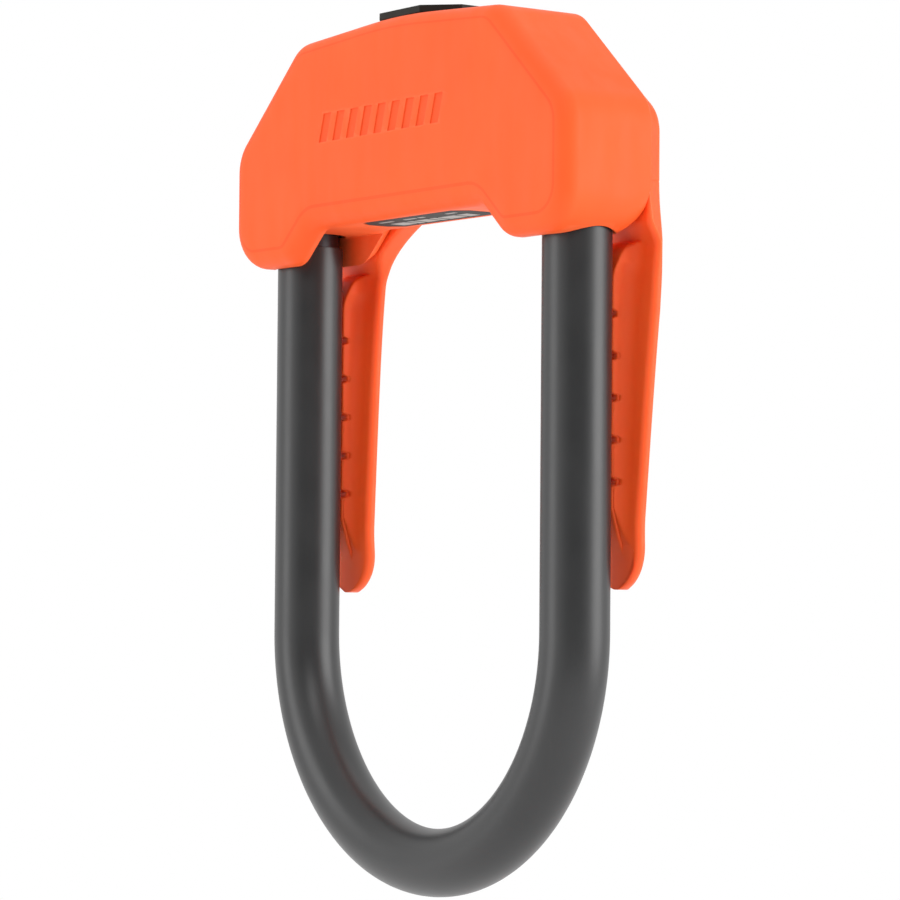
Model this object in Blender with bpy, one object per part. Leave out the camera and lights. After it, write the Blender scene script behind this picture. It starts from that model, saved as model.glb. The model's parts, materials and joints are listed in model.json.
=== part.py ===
"""U lock with a moulded casing, a belt clip behind each leg and a dual-deadbolt disc cylinder.

Frame: origin in the middle of the crossbar's underside, +Z up to the keyhole, the U-shaped
shackle hangs along -Z, X runs along the crossbar, -Y is the plain front, +Y the clip side.
"""
import math

import bmesh
import bpy
from mathutils import Matrix, Vector

MM = 0.001
GAP = 0.3 * MM                 # clearance between touching pieces
AXIS_R = 0.05 * MM             # hairline on a turned solid's axis, closed afterwards

# Shackle
LEG_X = 44.0 * MM              # leg centre to the middle plane, and the bend's radius
SLEEVE_R = 6.5 * MM
SLEEVE_BORE_R = 6.05 * MM
BAR_R = 5.75 * MM
BEND_Z = -79.4 * MM            # centre of the bend
SLEEVE_TOP_Z = -2.4 * MM
BAR_TOP_Z = 13.2 * MM
NOTCH_DEPTH = 3.65 * MM
NOTCH_Z = (6.5 * MM, 11.8 * MM)
SHACKLE_SIDES = 20
BEND_STEPS = 28

# Front casing
CASE_FRONT_Y = -12.0 * MM
CASE_BACK_Y = 9.3 * MM
FRONT_ROUND = 4.0 * MM         # depth of the soft front edge
HALF_WIDTH = 55.0 * MM
TOP_Z = 38.5 * MM
TOP_CORNER = (33.0 * MM, 36.9 * MM)
SIDE_CORNER_Z = 16.8 * MM
FOOT_Z = -6.8 * MM
FOOT_INNER_X = 35.0 * MM
RECESS_X = 27.5 * MM
WALL = 2.4 * MM
FLOOR = 2.0 * MM
LEG_HOLE_R = 7.1 * MM
POSTS = ((-37.0 * MM, 21.5 * MM), (37.0 * MM, 21.5 * MM), (-21.0 * MM, 29.5 * MM), (21.0 * MM, 29.5 * MM))
POST_R = 3.0 * MM
POST_ROOT_Y = CASE_FRONT_Y + 1.2 * MM
PILOT_R = 1.25 * MM            # screw hole in each post
PILOT_END_Y = -4.0 * MM
UNDER_ARC_START_Y = 2.8 * MM   # behind it the underside rises in an arc
UNDER_ARC_R = 9.0 * MM
DRAFT = 0.7 * MM               # how much narrower the ends are at the back rim

# Plate in the underside
PLATE_HALF_X = 17.0 * MM
PLATE_Y = (-7.2 * MM, 2.6 * MM)
PLATE_CUT = 2.6 * MM
PLATE_THICK = 0.9 * MM

# Rear screws
SCREW_R = 1.0 * MM
SCREW_HEAD_R = 2.6 * MM
SCREW_BORE_R = 1.6 * MM
HEAD_BORE_R = 3.0 * MM
HEAD_BORE_DEPTH = 2.6 * MM
SCREW_TIP_Y = -1.0 * MM

# Rear cover and clips
COVER_FRONT_Y = CASE_BACK_Y + GAP
COVER_BACK_Y = 14.3 * MM
COVER_HALF_WIDTH = 51.3 * MM
COVER_BOTTOM_Z = 3.8 * MM
COVER_CORNER_X = 32.4 * MM
COVER_HOLLOW = ((-32.0 * MM, 6.5 * MM), (32.0 * MM, 24.5 * MM))
COVER_HOLLOW_DEPTH = 2.2 * MM
COVER_FLARE = 1.5 * MM         # how far its front edge spreads to lie over the casing's rim
CLIP_TIP_Z = -70.9 * MM
CLIP_TIP_R = 8.2 * MM
CLIP_CORNER_R = 1.1 * MM
CLIP_HALF_WIDTH = 7.5 * MM
GUSSET_REACH = 15.5 * MM       # how far the root spreads towards the middle
CLIP_THICK = 2.4 * MM
CLIP_BEND_Z = -7.0 * MM        # below it the arm leans towards the leg
CLIP_LEAN = 0.033              # drop in Y for each unit down
CLIP_BOW = 0.9 * MM            # extra bend just below the root
CLIP_BOW_LENGTH = 12 * MM
RIB_HALF_WIDTH = 2.0 * MM
RIB_FRONT_Y = 6.85 * MM
RIB_NOSE = 6.8 * MM            # height of its rounded top
RIB_DEPTH = 5.0 * MM
RIB_FOOT_Z = (-56.5 * MM, -64.0 * MM)
RIB_NOTCH_DEPTH = 0.8 * MM
RIB_NOTCH_HALF = (0.9 * MM, 0.4 * MM)
RIB_NOTCHES = 5
RIB_NOTCH_PITCH = 7.75 * MM
RIB_NOTCH_TOP_Z = -20.6 * MM

# Crossbar
TUBE_HALF = (50.4 * MM, 9.2 * MM)
TUBE_Z = (2.3 * MM, 16.2 * MM)
TUBE_WALL = 2.2 * MM
BOLT_Z = (6.9 * MM, 11.4 * MM)
BOLT_HALF_Y = 5.2 * MM
BOLT_TIP_X = 37.6 * MM
BOLT_THROW = 4.0 * MM          # for a quarter turn of the cam
GUIDE_X = (20.0 * MM, 34.0 * MM)
SLIDE_GAP = 0.35 * MM          # round the bolts, the cam pins and the shackle's ends
END_PLATE_THICK = 1.4 * MM
CAM_PIN_R = 0.9 * MM
CAM_R = 4.9 * MM
CAM_Z = (12.0 * MM, 13.6 * MM)
CAM_SHAFT_R = 3.5 * MM
CAM_HEAD_Z = (18.6 * MM, 19.8 * MM)
CAM_PIN_BOTTOM_Z = 7.4 * MM
LUG_HALF = (6.0 * MM, 0.9 * MM)

# Cylinder
LOCK_X = -6.0 * MM             # key axis
ROTOR_R = 6.2 * MM
ROTOR_BORE_R = 5.2 * MM
ROTOR_Z = (18.5 * MM, 35.6 * MM)
HOUSING_R = 8.6 * MM
HOUSING_Z = (16.5 * MM, 35.4 * MM)
DISC_R = 4.9 * MM
DISC_COUNT = 6
DISC_THICK = 1.4 * MM
SPACER_THICK = 0.4 * MM
DISC_GAP = 0.15 * MM
STACK_BOTTOM_Z = 20.05 * MM
KEYHOLE_R = 3.2 * MM
KEY_SLOT_HALF = (1.4 * MM, 2.9 * MM)
GATE_HALF = 1.0 * MM
GATE_FLOOR = 4.1 * MM
SPACER_R = (3.4 * MM, 4.1 * MM)
GUARD_Z = (32.55 * MM, 33.95 * MM)
ROTOR_FACE = 1.5 * MM
SIDEBAR_R = 0.75 * MM
SIDEBAR_AT = 5.2 * MM
SIDEBAR_Z = (20.8 * MM, 32.4 * MM)
SIDEBAR_PLAY = 1.0 * MM

# Keyhole surround and its shutter
BEZEL_X = -1.7 * MM
BEZEL_HALF = (12.5 * MM, 8.3 * MM)
BEZEL_CHAMFER = 5.8 * MM
BEZEL_Z = (38.75 * MM, 40.2 * MM)
NECK_R = 6.3 * MM
NECK_BOTTOM_Z = 35.9 * MM
NECK_BORE_R = 4.6 * MM
TRACK_HALF_Y = 4.8 * MM
TRACK_Z = (39.0 * MM, 39.75 * MM)
WINDOW_HALF_Y = 4.1 * MM
SHUTTER_HALF_X = 5.2 * MM
SHUTTER_TRAVEL = 8.3 * MM      # far enough for the keyhole to clear its edge
SHUTTER_HALF_Y = 4.5 * MM
SHUTTER_TOP_HALF_Y = 3.8 * MM
SHUTTER_Z = (39.2 * MM, 39.55 * MM)
SHUTTER_TOP_Z = 40.0 * MM
RIDGE_COUNT = 3
RIDGE_PITCH = 1.8 * MM
RIDGE_HALF = (0.4 * MM, 2.6 * MM)
RIDGE_TOP_Z = 40.4 * MM

# Joints
KEY_AXIS = (LOCK_X, 0.0, 20.0 * MM)
CLIP_ROOT_Z = 3.7 * MM         # each clip flexes about the cover's lower back edge

ORANGE = (1.0, 0.16, 0.045)


def clear_scene():
    for obj in list(bpy.data.objects):
        bpy.data.objects.remove(obj, do_unlink=True)


def material(name, color, roughness, metallic=0.0):
    mat = bpy.data.materials.get(name) or bpy.data.materials.new(name)
    mat.use_nodes = True
    shader = mat.node_tree.nodes["Principled BSDF"]
    shader.inputs["Base Color"].default_value = (*color, 1.0)
    shader.inputs["Roughness"].default_value = roughness
    shader.inputs["Metallic"].default_value = metallic
    return mat


def orange_plastic():
    return material("orange_plastic", ORANGE, 0.5)


def black_plastic():
    return material("black_plastic", (0.02, 0.02, 0.018), 0.45)


def label_plate():
    return material("label_plate", (0.09, 0.09, 0.095), 0.5)


def plated_steel():
    return material("plated_steel", (0.55, 0.55, 0.53), 0.32, 1.0)


def hardened_steel():
    return material("hardened_steel", (0.3, 0.3, 0.31), 0.38, 1.0)


def brass():
    return material("brass", (0.78, 0.58, 0.28), 0.3, 1.0)


def zinc():
    return material("zinc", (0.6, 0.6, 0.61), 0.45, 1.0)


def new_object(name, bm, mat, smooth_angle=35.0, pivot=(0.0, 0.0, 0.0)):
    """Turn a bmesh into a named object with outward faces and its origin at the pivot."""
    bmesh.ops.recalc_face_normals(bm, faces=bm.faces[:])
    bm.transform(Matrix.Translation(-Vector(pivot)))
    mesh = bpy.data.meshes.new(name)
    bm.to_mesh(mesh)
    bm.free()
    mesh.shade_smooth()
    mesh.set_sharp_from_angle(angle=math.radians(smooth_angle))
    obj = bpy.data.objects.new(name, mesh)
    obj.location = pivot
    bpy.context.scene.collection.objects.link(obj)
    if mat:
        mesh.materials.append(mat)
    return obj


def loft(rings, closed_path=False):
    """Skin a list of equal rings; the two end rings are capped unless the path is closed."""
    bm = bmesh.new()
    loops = [[bm.verts.new(p) for p in ring] for ring in rings]
    pairs = list(zip(loops, loops[1:]))
    if closed_path:
        pairs.append((loops[-1], loops[0]))
    else:
        bm.faces.new(loops[0])
        bm.faces.new(loops[-1])
    for a, b in pairs:
        for i in range(len(a)):
            j = (i + 1) % len(a)
            bm.faces.new((a[i], a[j], b[j], b[i]))
    return bm


def box(low, high):
    """A box between two corners."""
    ring = [(low[0], low[1]), (high[0], low[1]), (high[0], high[1]), (low[0], high[1])]
    return loft([[(x, y, z) for x, y in ring] for z in (low[2], high[2])])


def turned(profile, centre=(0.0, 0.0), sides=24):
    """Revolve a closed (radius, z) profile about a vertical axis through centre."""
    rings = []
    for k in range(sides):
        a = 2 * math.pi * k / sides
        rings.append([(centre[0] + r * math.cos(a), centre[1] + r * math.sin(a), z) for r, z in profile])
    return loft(rings, closed_path=True)


def cylinder(radius, low, high, centre=(0.0, 0.0), sides=24):
    """An upright cylinder."""
    turn = [2 * math.pi * k / sides for k in range(sides)]
    ring = [(centre[0] + radius * math.cos(a), centre[1] + radius * math.sin(a)) for a in turn]
    return loft([[(x, y, z) for x, y in ring] for z in (low, high)])


def lay_along_y(bm, x, z):
    """Swing an upright solid about the X axis so its own +Z points along +Y, then place it."""
    bm.transform(Matrix.Translation((x, 0, z)) @ Matrix.Rotation(math.radians(-90), 4, "X"))
    return bm


def guide(name, bm):
    """A cutter or a tool solid, left out of the part."""
    obj = new_object(name, bm, None)
    obj.hide_render = True
    obj.display_type = "WIRE"
    return obj


def combine(target, name, bm, operation="DIFFERENCE"):
    mod = target.modifiers.new(name, "BOOLEAN")
    mod.object = guide(f"{target.name}_{name}", bm)
    mod.operation = operation
    mod.solver = "EXACT"


def fillet_outline(corners, steps):
    """Closed outline through (x, z, radius) corners, each rounded by an arc of steps segments."""
    points = []
    count = len(corners)
    for i, (x, z, radius) in enumerate(corners):
        here = Vector((x, z))
        back = (Vector(corners[i - 1][:2]) - here).normalized()
        ahead = (Vector(corners[(i + 1) % count][:2]) - here).normalized()
        half = back.angle(ahead) / 2
        reach = radius / math.tan(half)
        centre = here + (back + ahead).normalized() * (radius / math.sin(half))
        start = here + back * reach - centre
        end = here + ahead * reach - centre
        sweep = start.angle_signed(end)
        for k in range(steps + 1):
            points.append(centre + Matrix.Rotation(-sweep * k / steps, 2) @ start)
    return [(p.x, p.y) for p in points]


def mirrored(half):
    """Corners of a whole outline from its +X half, which starts on the middle plane."""
    return half + [(-x, z, r) for x, z, r in reversed(half) if x > 0]


def offset_corners(corners, insets):
    """Move each side of a clockwise outline inwards; insets[i] belongs to side i to i+1."""
    count = len(corners)
    sides = []
    for i in range(count):
        a = Vector(corners[i][:2])
        b = Vector(corners[(i + 1) % count][:2])
        run = (b - a).normalized()
        inward = Vector((run.y, -run.x))
        sides.append((a + inward * insets[i], run))
    moved = []
    for i in range(count):
        (p, u), (q, v) = sides[i - 1], sides[i]
        turn = u.x * v.y - u.y * v.x
        t = ((q.x - p.x) * v.y - (q.y - p.y) * v.x) / turn
        corner = p + u * t
        inset = (insets[i - 1] + insets[i]) / 2
        change = -inset if turn < 0 else inset
        moved.append((corner.x, corner.y, max(corners[i][2] + change, 0.4 * MM)))
    return moved


CASE_CORNERS = mirrored([
    (0.0, TOP_Z, 160 * MM),
    (TOP_CORNER[0], TOP_CORNER[1], 8 * MM),
    (HALF_WIDTH, SIDE_CORNER_Z, 9 * MM),
    (HALF_WIDTH, FOOT_Z, 8.5 * MM),
    (FOOT_INNER_X, FOOT_Z, 6 * MM),
    (RECESS_X, 0.0, 4.5 * MM),
])


def case_insets(top, shoulder, end, foot, slope, recess):
    """One inset for each side of the casing's outline, in the outline's order."""
    half = [top, shoulder, end, foot, slope]
    return half + [recess] + half[::-1]


def case_ring(y, insets, lift=0.0, steps=5):
    """The casing's outline at one depth; lift raises the underside."""
    outline = fillet_outline(offset_corners(CASE_CORNERS, insets), steps)
    ring = []
    for x, z in outline:
        share = min(max((SIDE_CORNER_Z - z) / (SIDE_CORNER_Z - FOOT_Z), 0.0), 1.0)
        ring.append((x, y, z + lift * min(1.0, share * 1.35)))
    return ring


def case_rings():
    """Soft front edge, straight middle, underside rising in an arc to the back rim."""
    rings = []
    for k in range(6):
        a = math.radians(90 * (1 - k / 5))
        y = CASE_FRONT_Y + FRONT_ROUND * (1 - math.sin(a))
        deep = 1 - math.cos(a)
        rings.append(case_ring(y, [deep * i * MM for i in case_insets(3.5, 4, 4, 4.6, 5, 5.2)]))
    straight = CASE_BACK_Y - CASE_FRONT_Y - FRONT_ROUND
    rim = 0.5 * MM
    for k in range(5):
        y = UNDER_ARC_START_Y + (CASE_BACK_Y - rim - UNDER_ARC_START_Y) * k / 4
        lift = UNDER_ARC_R - math.sqrt(UNDER_ARC_R ** 2 - (y - UNDER_ARC_START_Y) ** 2)
        draft = DRAFT * (y - CASE_FRONT_Y - FRONT_ROUND) / straight
        rings.append(case_ring(y, case_insets(0, 0.1 * draft, draft, 0, 0, 0), lift))
    insets = case_insets(rim, rim + 0.1 * draft, rim + draft, 0, 0, 0)
    rings.append(case_ring(CASE_BACK_Y, insets, lift + 0.7 * MM))
    return rings


def cavity_bm():
    """The casing's inside, open at the back: floor over the feet, walls all round."""
    corners = mirrored([
        (0.0, TOP_Z - WALL, 160 * MM),
        (TOP_CORNER[0] - 0.9 * MM, TOP_CORNER[1] - WALL, 5.6 * MM),
        (HALF_WIDTH - WALL, SIDE_CORNER_Z - 1.1 * MM, 6.6 * MM),
        (HALF_WIDTH - WALL, FLOOR, 1.0 * MM),
    ])
    outline = fillet_outline(corners, 3)
    depths = (CASE_FRONT_Y + WALL, CASE_FRONT_Y + WALL + 2.5 * MM, CASE_BACK_Y + 1 * MM)
    shrink = (0.985, 1.0, 1.0)
    middle = 18 * MM
    return loft([[(x * s, y, middle + (z - middle) * s) for x, z in outline] for y, s in zip(depths, shrink)])


def front_casing():
    casing = new_object("front_casing", loft(case_rings()), orange_plastic(), 40)
    combine(casing, "cavity", cavity_bm())
    for i, (x, z) in enumerate(POSTS):
        post = lay_along_y(cylinder(POST_R, POST_ROOT_Y, CASE_BACK_Y - GAP, sides=12), x, z)
        combine(casing, f"post_{i}", post, "UNION")
        pilot = lay_along_y(cylinder(PILOT_R, PILOT_END_Y, CASE_BACK_Y + 1 * MM, sides=10), x, z)
        combine(casing, f"pilot_{i}", pilot)
    for side, sign in (("left", -1), ("right", 1)):
        x = sign * LEG_X
        combine(casing, f"{side}_hole", cylinder(LEG_HOLE_R, -12 * MM, FLOOR + 2 * MM, (x, 0.0), 28))
        inner = sorted((x, sign * (RECESS_X - 2 * MM)))
        slot = box((inner[0], -LEG_HOLE_R, -12 * MM), (inner[1], LEG_HOLE_R, 0.05 * MM))
        combine(casing, f"{side}_slot", slot)
    combine(casing, "neck_hole", cylinder(NECK_R + GAP, 30 * MM, 45 * MM, (LOCK_X, 0.0), 28))
    combine(casing, "plate_pocket", plate_bm(GAP, -1 * MM, PLATE_THICK + GAP))
    return casing


def plate_bm(grow, low, high):
    """Long plate with cut corners, set into the underside."""
    half_x = PLATE_HALF_X + grow
    y0 = PLATE_Y[0] - grow
    y1 = PLATE_Y[1] + grow
    cut = PLATE_CUT
    ring = [(-half_x, y0 + cut), (-half_x + cut, y0), (half_x - cut, y0), (half_x, y0 + cut),
            (half_x, y1 - cut), (half_x - cut, y1), (-half_x + cut, y1), (-half_x, y1 - cut)]
    return loft([[(x, y, z) for x, y in ring] for z in (low, high)])


def underside_plate():
    return new_object("underside_plate", plate_bm(0.0, 0.0, PLATE_THICK), label_plate())


def rear_cover():
    """Lid over the casing's back: a thick plate with a soft back edge and a hollow inside."""
    corners = mirrored([
        (0.0, TOP_Z - 4 * MM, 160 * MM),
        (COVER_CORNER_X, TOP_CORNER[1] - 4 * MM, 6.5 * MM),
        (COVER_HALF_WIDTH, SIDE_CORNER_Z - 0.8 * MM, 7.5 * MM),
        (COVER_HALF_WIDTH, COVER_BOTTOM_Z, 2.2 * MM),
    ])
    count = len(corners)
    rings = []
    for y, inset in ((COVER_FRONT_Y, -COVER_FLARE), (COVER_FRONT_Y + 1.2 * MM, -0.3 * COVER_FLARE),
                     (COVER_BACK_Y - 1.8 * MM, 0.0), (COVER_BACK_Y - 0.9 * MM, 0.25 * MM),
                     (COVER_BACK_Y - 0.3 * MM, 0.8 * MM), (COVER_BACK_Y, 1.7 * MM)):
        insets = [inset] * count
        insets[3] = 0.0
        outline = fillet_outline(offset_corners(corners, insets), 4)
        rings.append([(x, y, z) for x, z in outline])
    cover = new_object("rear_cover", loft(rings), orange_plastic(), 40)
    (x0, z0), (x1, z1) = COVER_HOLLOW
    hollow = box((x0, COVER_FRONT_Y - 1 * MM, z0), (x1, COVER_FRONT_Y + COVER_HOLLOW_DEPTH, z1))
    combine(cover, "hollow", hollow)
    front = COVER_FRONT_Y - 1 * MM
    seat = COVER_BACK_Y - HEAD_BORE_DEPTH
    back = COVER_BACK_Y + 1 * MM
    profile = [(AXIS_R, front), (SCREW_BORE_R, front), (SCREW_BORE_R, seat), (HEAD_BORE_R, seat),
               (HEAD_BORE_R, back), (AXIS_R, back)]
    for i, (x, z) in enumerate(POSTS):
        combine(cover, f"bore_{i}", capped(lay_along_y(turned(profile, sides=16), x, z)))
    return cover


def rear_screws():
    """Four pan-head screws that hold the rear cover to the casing's posts."""
    head = COVER_BACK_Y - HEAD_BORE_DEPTH + GAP
    socket = head + 0.7 * MM
    profile = [(0.6 * SCREW_R, SCREW_TIP_Y), (SCREW_R, 0.0), (SCREW_R, head), (SCREW_HEAD_R, head),
               (SCREW_HEAD_R, head + 1.2 * MM), (1.9 * MM, head + 1.7 * MM), (SCREW_R, head + 1.75 * MM),
               (0.9 * SCREW_R, socket), (AXIS_R, socket), (AXIS_R, SCREW_TIP_Y)]
    for i, (x, z) in enumerate(POSTS):
        screw = turned(profile, sides=12)
        new_object(f"rear_screw_{i + 1}", capped(lay_along_y(screw, x, z)), plated_steel())


def capped(bm):
    """Close the hairline left on a turned solid's axis."""
    bmesh.ops.remove_doubles(bm, verts=bm.verts[:], dist=0.12 * MM)
    return bm


def clip_back(z):
    """Y of a clip's back face at height z: bends in quickly below the root, then leans steadily."""
    drop = max(CLIP_BEND_Z - z, 0.0)
    return COVER_BACK_Y - 0.1 * MM - CLIP_LEAN * drop - CLIP_BOW * (1 - math.exp(-drop / CLIP_BOW_LENGTH))


def clip_ring(z, sign):
    """Rounded-rectangle section of a clip's arm; it spreads into a gusset at its root."""
    spread = min(max((z - CLIP_BEND_Z) / (3.5 * MM - CLIP_BEND_Z), 0.0), 1.0)
    half = CLIP_HALF_WIDTH
    above_tip = z - CLIP_TIP_Z
    if above_tip < CLIP_TIP_R:
        half *= math.sqrt(max(1 - (1 - above_tip / CLIP_TIP_R) ** 2, 0.015))
    inner = LEG_X - half - GUSSET_REACH * spread ** 1.35
    outer = LEG_X + half
    back = clip_back(z)
    ease = min(max((z + 8.5 * MM) / (5.5 * MM), 0.0), 1.0)
    thick = CLIP_THICK + (COVER_BACK_Y - COVER_FRONT_Y - CLIP_THICK - 0.1 * MM) * ease * ease * (3 - 2 * ease)
    front = back - thick
    r = min(CLIP_CORNER_R, 0.45 * (outer - inner))
    ring = []
    for cx, cy, start in ((outer - r, back - r, 0), (inner + r, back - r, 90),
                          (inner + r, front + r, 180), (outer - r, front + r, 270)):
        for k in range(4):
            a = math.radians(start + 30 * k)
            ring.append((sign * (cx + r * math.cos(a)), cy + r * math.sin(a), z))
    return ring


def rib_bm(sign):
    """Grip rib on a clip's inner side, seen from the side: round top, straight face, ramped foot."""
    top = CLIP_BEND_Z - 0.3 * MM
    front = RIB_FRONT_Y
    side = [(front + RIB_DEPTH, top)]
    for k in range(1, 6):
        a = math.radians(18 * k)
        side.append((front + RIB_DEPTH * (1 - math.sin(a)), top - RIB_NOSE * (1 - math.cos(a))))
    mouth, floor = RIB_NOTCH_HALF
    for k in range(RIB_NOTCHES):
        z = RIB_NOTCH_TOP_Z - k * RIB_NOTCH_PITCH
        side += [(front, z + mouth), (front + RIB_NOTCH_DEPTH, z + floor)]
        side += [(front + RIB_NOTCH_DEPTH, z - floor), (front, z - mouth)]
    ramp, foot = RIB_FOOT_Z
    side += [(front, ramp), (clip_back(foot) - 1.2 * MM, foot - 1.5 * MM)]
    xs = sorted((sign * (LEG_X - RIB_HALF_WIDTH), sign * (LEG_X + RIB_HALF_WIDTH)))
    return loft([[(x, y, z) for y, z in side] for x in xs])


def belt_clip(side, sign):
    levels = [3.5, 2.0, 0.0, -1.5, -3.0, -4.5, -6.0, -7.2, -8.5, -12.0, -16.0, -21.0, -30.0, -50.0, -62.5,
              -64.5, -66.2, -67.8, -69.2, -70.2, -70.7, -70.88]
    root = (sign * LEG_X, COVER_BACK_Y, CLIP_ROOT_Z)
    arm = loft([clip_ring(z * MM, sign) for z in levels])
    clip = new_object(f"belt_clip_{side}", arm, orange_plastic(), 40, root)
    combine(clip, "rib", rib_bm(sign), "UNION")
    return clip


def shackle_path():
    """Centre line of the U and the direction across it, from the left leg's top to the right's."""
    path = [(Vector((-LEG_X, 0, 0)), Vector((-1, 0, 0)))]
    for k in range(BEND_STEPS + 1):
        a = math.pi * k / BEND_STEPS
        out = Vector((-math.cos(a), 0, -math.sin(a)))
        path.append((Vector((0, 0, BEND_Z)) + out * LEG_X, out))
    path.append((Vector((LEG_X, 0, 0)), Vector((1, 0, 0))))
    return path


def shackle_rings(radius, top):
    rings = []
    path = shackle_path()
    for i, (centre, out) in enumerate(path):
        if i in (0, len(path) - 1):
            centre = centre + Vector((0, 0, top))
        rings.append([tuple(centre + out * (radius * math.cos(a)) + Vector((0, radius * math.sin(a), 0)))
                      for a in (2 * math.pi * k / SHACKLE_SIDES for k in range(SHACKLE_SIDES))])
    return rings


def shackle_bar():
    """Hardened U bar with chamfered ends and a bolt notch on each leg's inner side."""
    rings = shackle_rings(BAR_R, BAR_TOP_Z - 1.2 * MM)
    for index, x in ((0, -LEG_X), (len(rings) - 1, LEG_X)):
        end = rings[index]
        tip = [(x + (px - x) * 0.78, py * 0.78, BAR_TOP_Z) for px, py, _ in end]
        rings.insert(0 if index == 0 else len(rings), tip)
    bar = new_object("shackle_bar", loft(rings), hardened_steel())
    for side, sign in (("left", -1), ("right", 1)):
        near = sign * (LEG_X - BAR_R - 1 * MM)
        far = sign * (LEG_X - BAR_R + NOTCH_DEPTH)
        xs = sorted((near, far))
        combine(bar, f"{side}_notch", box((xs[0], -8 * MM, NOTCH_Z[0]), (xs[1], 8 * MM, NOTCH_Z[1])))
    return bar


def shackle_sleeve():
    """Thin tough sleeve over the bar, open at both ends."""
    outer = shackle_rings(SLEEVE_R, SLEEVE_TOP_Z)
    inner = shackle_rings(SLEEVE_BORE_R, SLEEVE_TOP_Z)
    bm = bmesh.new()
    skins = [[[bm.verts.new(p) for p in ring] for ring in skin] for skin in (outer, inner)]
    for skin in skins:
        for a, b in zip(skin, skin[1:]):
            for i in range(SHACKLE_SIDES):
                j = (i + 1) % SHACKLE_SIDES
                bm.faces.new((a[i], a[j], b[j], b[i]))
    for end in (0, -1):
        a, b = skins[0][end], skins[1][end]
        for i in range(SHACKLE_SIDES):
            j = (i + 1) % SHACKLE_SIDES
            bm.faces.new((a[i], a[j], b[j], b[i]))
    sleeve_mat = material("grey_sleeve", (0.075, 0.077, 0.08), 0.55)
    return new_object("shackle_sleeve", bm, sleeve_mat)


def leg_bushes():
    """Black ring in each leg hole, between the casing's floor and the crossbar."""
    for side, sign in (("left", -1), ("right", 1)):
        low, high = 0.2 * MM, FLOOR
        inner, outer = BAR_R + SLIDE_GAP, LEG_HOLE_R - GAP
        ring = [(inner, low), (outer, low), (outer, high), (inner, high)]
        new_object(f"leg_bush_{side}", turned(ring, (sign * LEG_X, 0.0), 24), black_plastic())


def rounded_rect(half_y, low, high, radius, steps=3):
    """Outline in the YZ plane."""
    ring = []
    for cy, cz, start in ((half_y - radius, high - radius, 0), (-half_y + radius, high - radius, 90),
                          (-half_y + radius, low + radius, 180), (half_y - radius, low + radius, 270)):
        for k in range(steps + 1):
            a = math.radians(start + 90 * k / steps)
            ring.append((cy + radius * math.cos(a), cz + radius * math.sin(a)))
    return ring


def crossbar_tube():
    half_x, half_y = TUBE_HALF
    outer = rounded_rect(half_y, TUBE_Z[0], TUBE_Z[1], 2.6 * MM)
    tube = new_object("crossbar_tube", loft([[(x, y, z) for y, z in outer] for x in (-half_x, half_x)]),
                      hardened_steel())
    bore = rounded_rect(half_y - TUBE_WALL, TUBE_Z[0] + TUBE_WALL, TUBE_Z[1] - TUBE_WALL, 1 * MM, 1)
    combine(tube, "bore", loft([[(x, y, z) for y, z in bore] for x in (-60 * MM, 60 * MM)]))
    for side, sign in (("left", -1), ("right", 1)):
        combine(tube, f"{side}_leg", cylinder(BAR_R + 0.45 * MM, 0.0, 6 * MM, (sign * LEG_X, 0.0), 24))
    combine(tube, "cam_hole", cylinder(5.3 * MM, 12 * MM, 18 * MM, (LOCK_X, 0.0), 24))
    return tube


def end_plates():
    """Steel plate that closes each end of the crossbar tube."""
    for side, sign in (("left", -1), ("right", 1)):
        outline = rounded_rect(8.6 * MM, 3.2 * MM, 12.6 * MM, 1.8 * MM)
        xs = sorted((sign * (TUBE_HALF[0] + GAP), sign * (TUBE_HALF[0] + GAP + END_PLATE_THICK)))
        bm = loft([[(x, y, z) for y, z in outline] for x in xs])
        new_object(f"end_plate_{side}", bm, hardened_steel())


def bolt_guides():
    """Zinc block with a channel that keeps a deadbolt straight in the tube."""
    low = TUBE_Z[0] + TUBE_WALL + GAP
    high = TUBE_Z[1] - TUBE_WALL - GAP
    half_y = TUBE_HALF[1] - TUBE_WALL - 1 * MM
    for side, sign in (("left", -1), ("right", 1)):
        xs = sorted((sign * GUIDE_X[0], sign * GUIDE_X[1]))
        block = new_object(f"bolt_guide_{side}", box((xs[0], -half_y, low), (xs[1], half_y, high)), zinc())
        combine(block, "channel", box((xs[0] - MM, -BOLT_HALF_Y - SLIDE_GAP, BOLT_Z[0] - SLIDE_GAP),
                                      (xs[1] + MM, BOLT_HALF_Y + SLIDE_GAP, BOLT_Z[1] + SLIDE_GAP)))


def deadbolts():
    """Two bolts; each has a half-width tail with a cross slot for its cam pin."""
    pin_reach = BOLT_THROW / 2
    slot_half = CAM_PIN_R + SLIDE_GAP
    for side, sign in (("left", -1), ("right", 1)):
        slot_x = LOCK_X - sign * pin_reach
        tail_end = slot_x - sign * 3 * MM
        shoulder = LOCK_X + sign * 9 * MM
        xs = sorted((shoulder, sign * BOLT_TIP_X))
        bm = box((xs[0], -BOLT_HALF_Y, BOLT_Z[0]), (xs[1], BOLT_HALF_Y, BOLT_Z[1]))
        bolt = new_object(f"deadbolt_{side}", bm, plated_steel(), pivot=(sign * BOLT_TIP_X, 0.0, BOLT_Z[0]))
        bevel = bolt.modifiers.new("edges", "BEVEL")
        bevel.width = 0.5 * MM
        bevel.segments = 1
        xs = sorted((tail_end, shoulder + sign * 3 * MM))
        ys = sorted((-sign * 0.25 * MM, -sign * BOLT_HALF_Y * 0.985))
        combine(bolt, "tail", box((xs[0], ys[0], BOLT_Z[0] + 0.2 * MM), (xs[1], ys[1], BOLT_Z[1] - 0.2 * MM)),
                "UNION")
        ys = sorted((-sign * 0.75 * MM, -sign * 4.3 * MM))
        combine(bolt, "slot", box((slot_x - slot_half, ys[0], 0.0), (slot_x + slot_half, ys[1], 20 * MM)))


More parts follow.
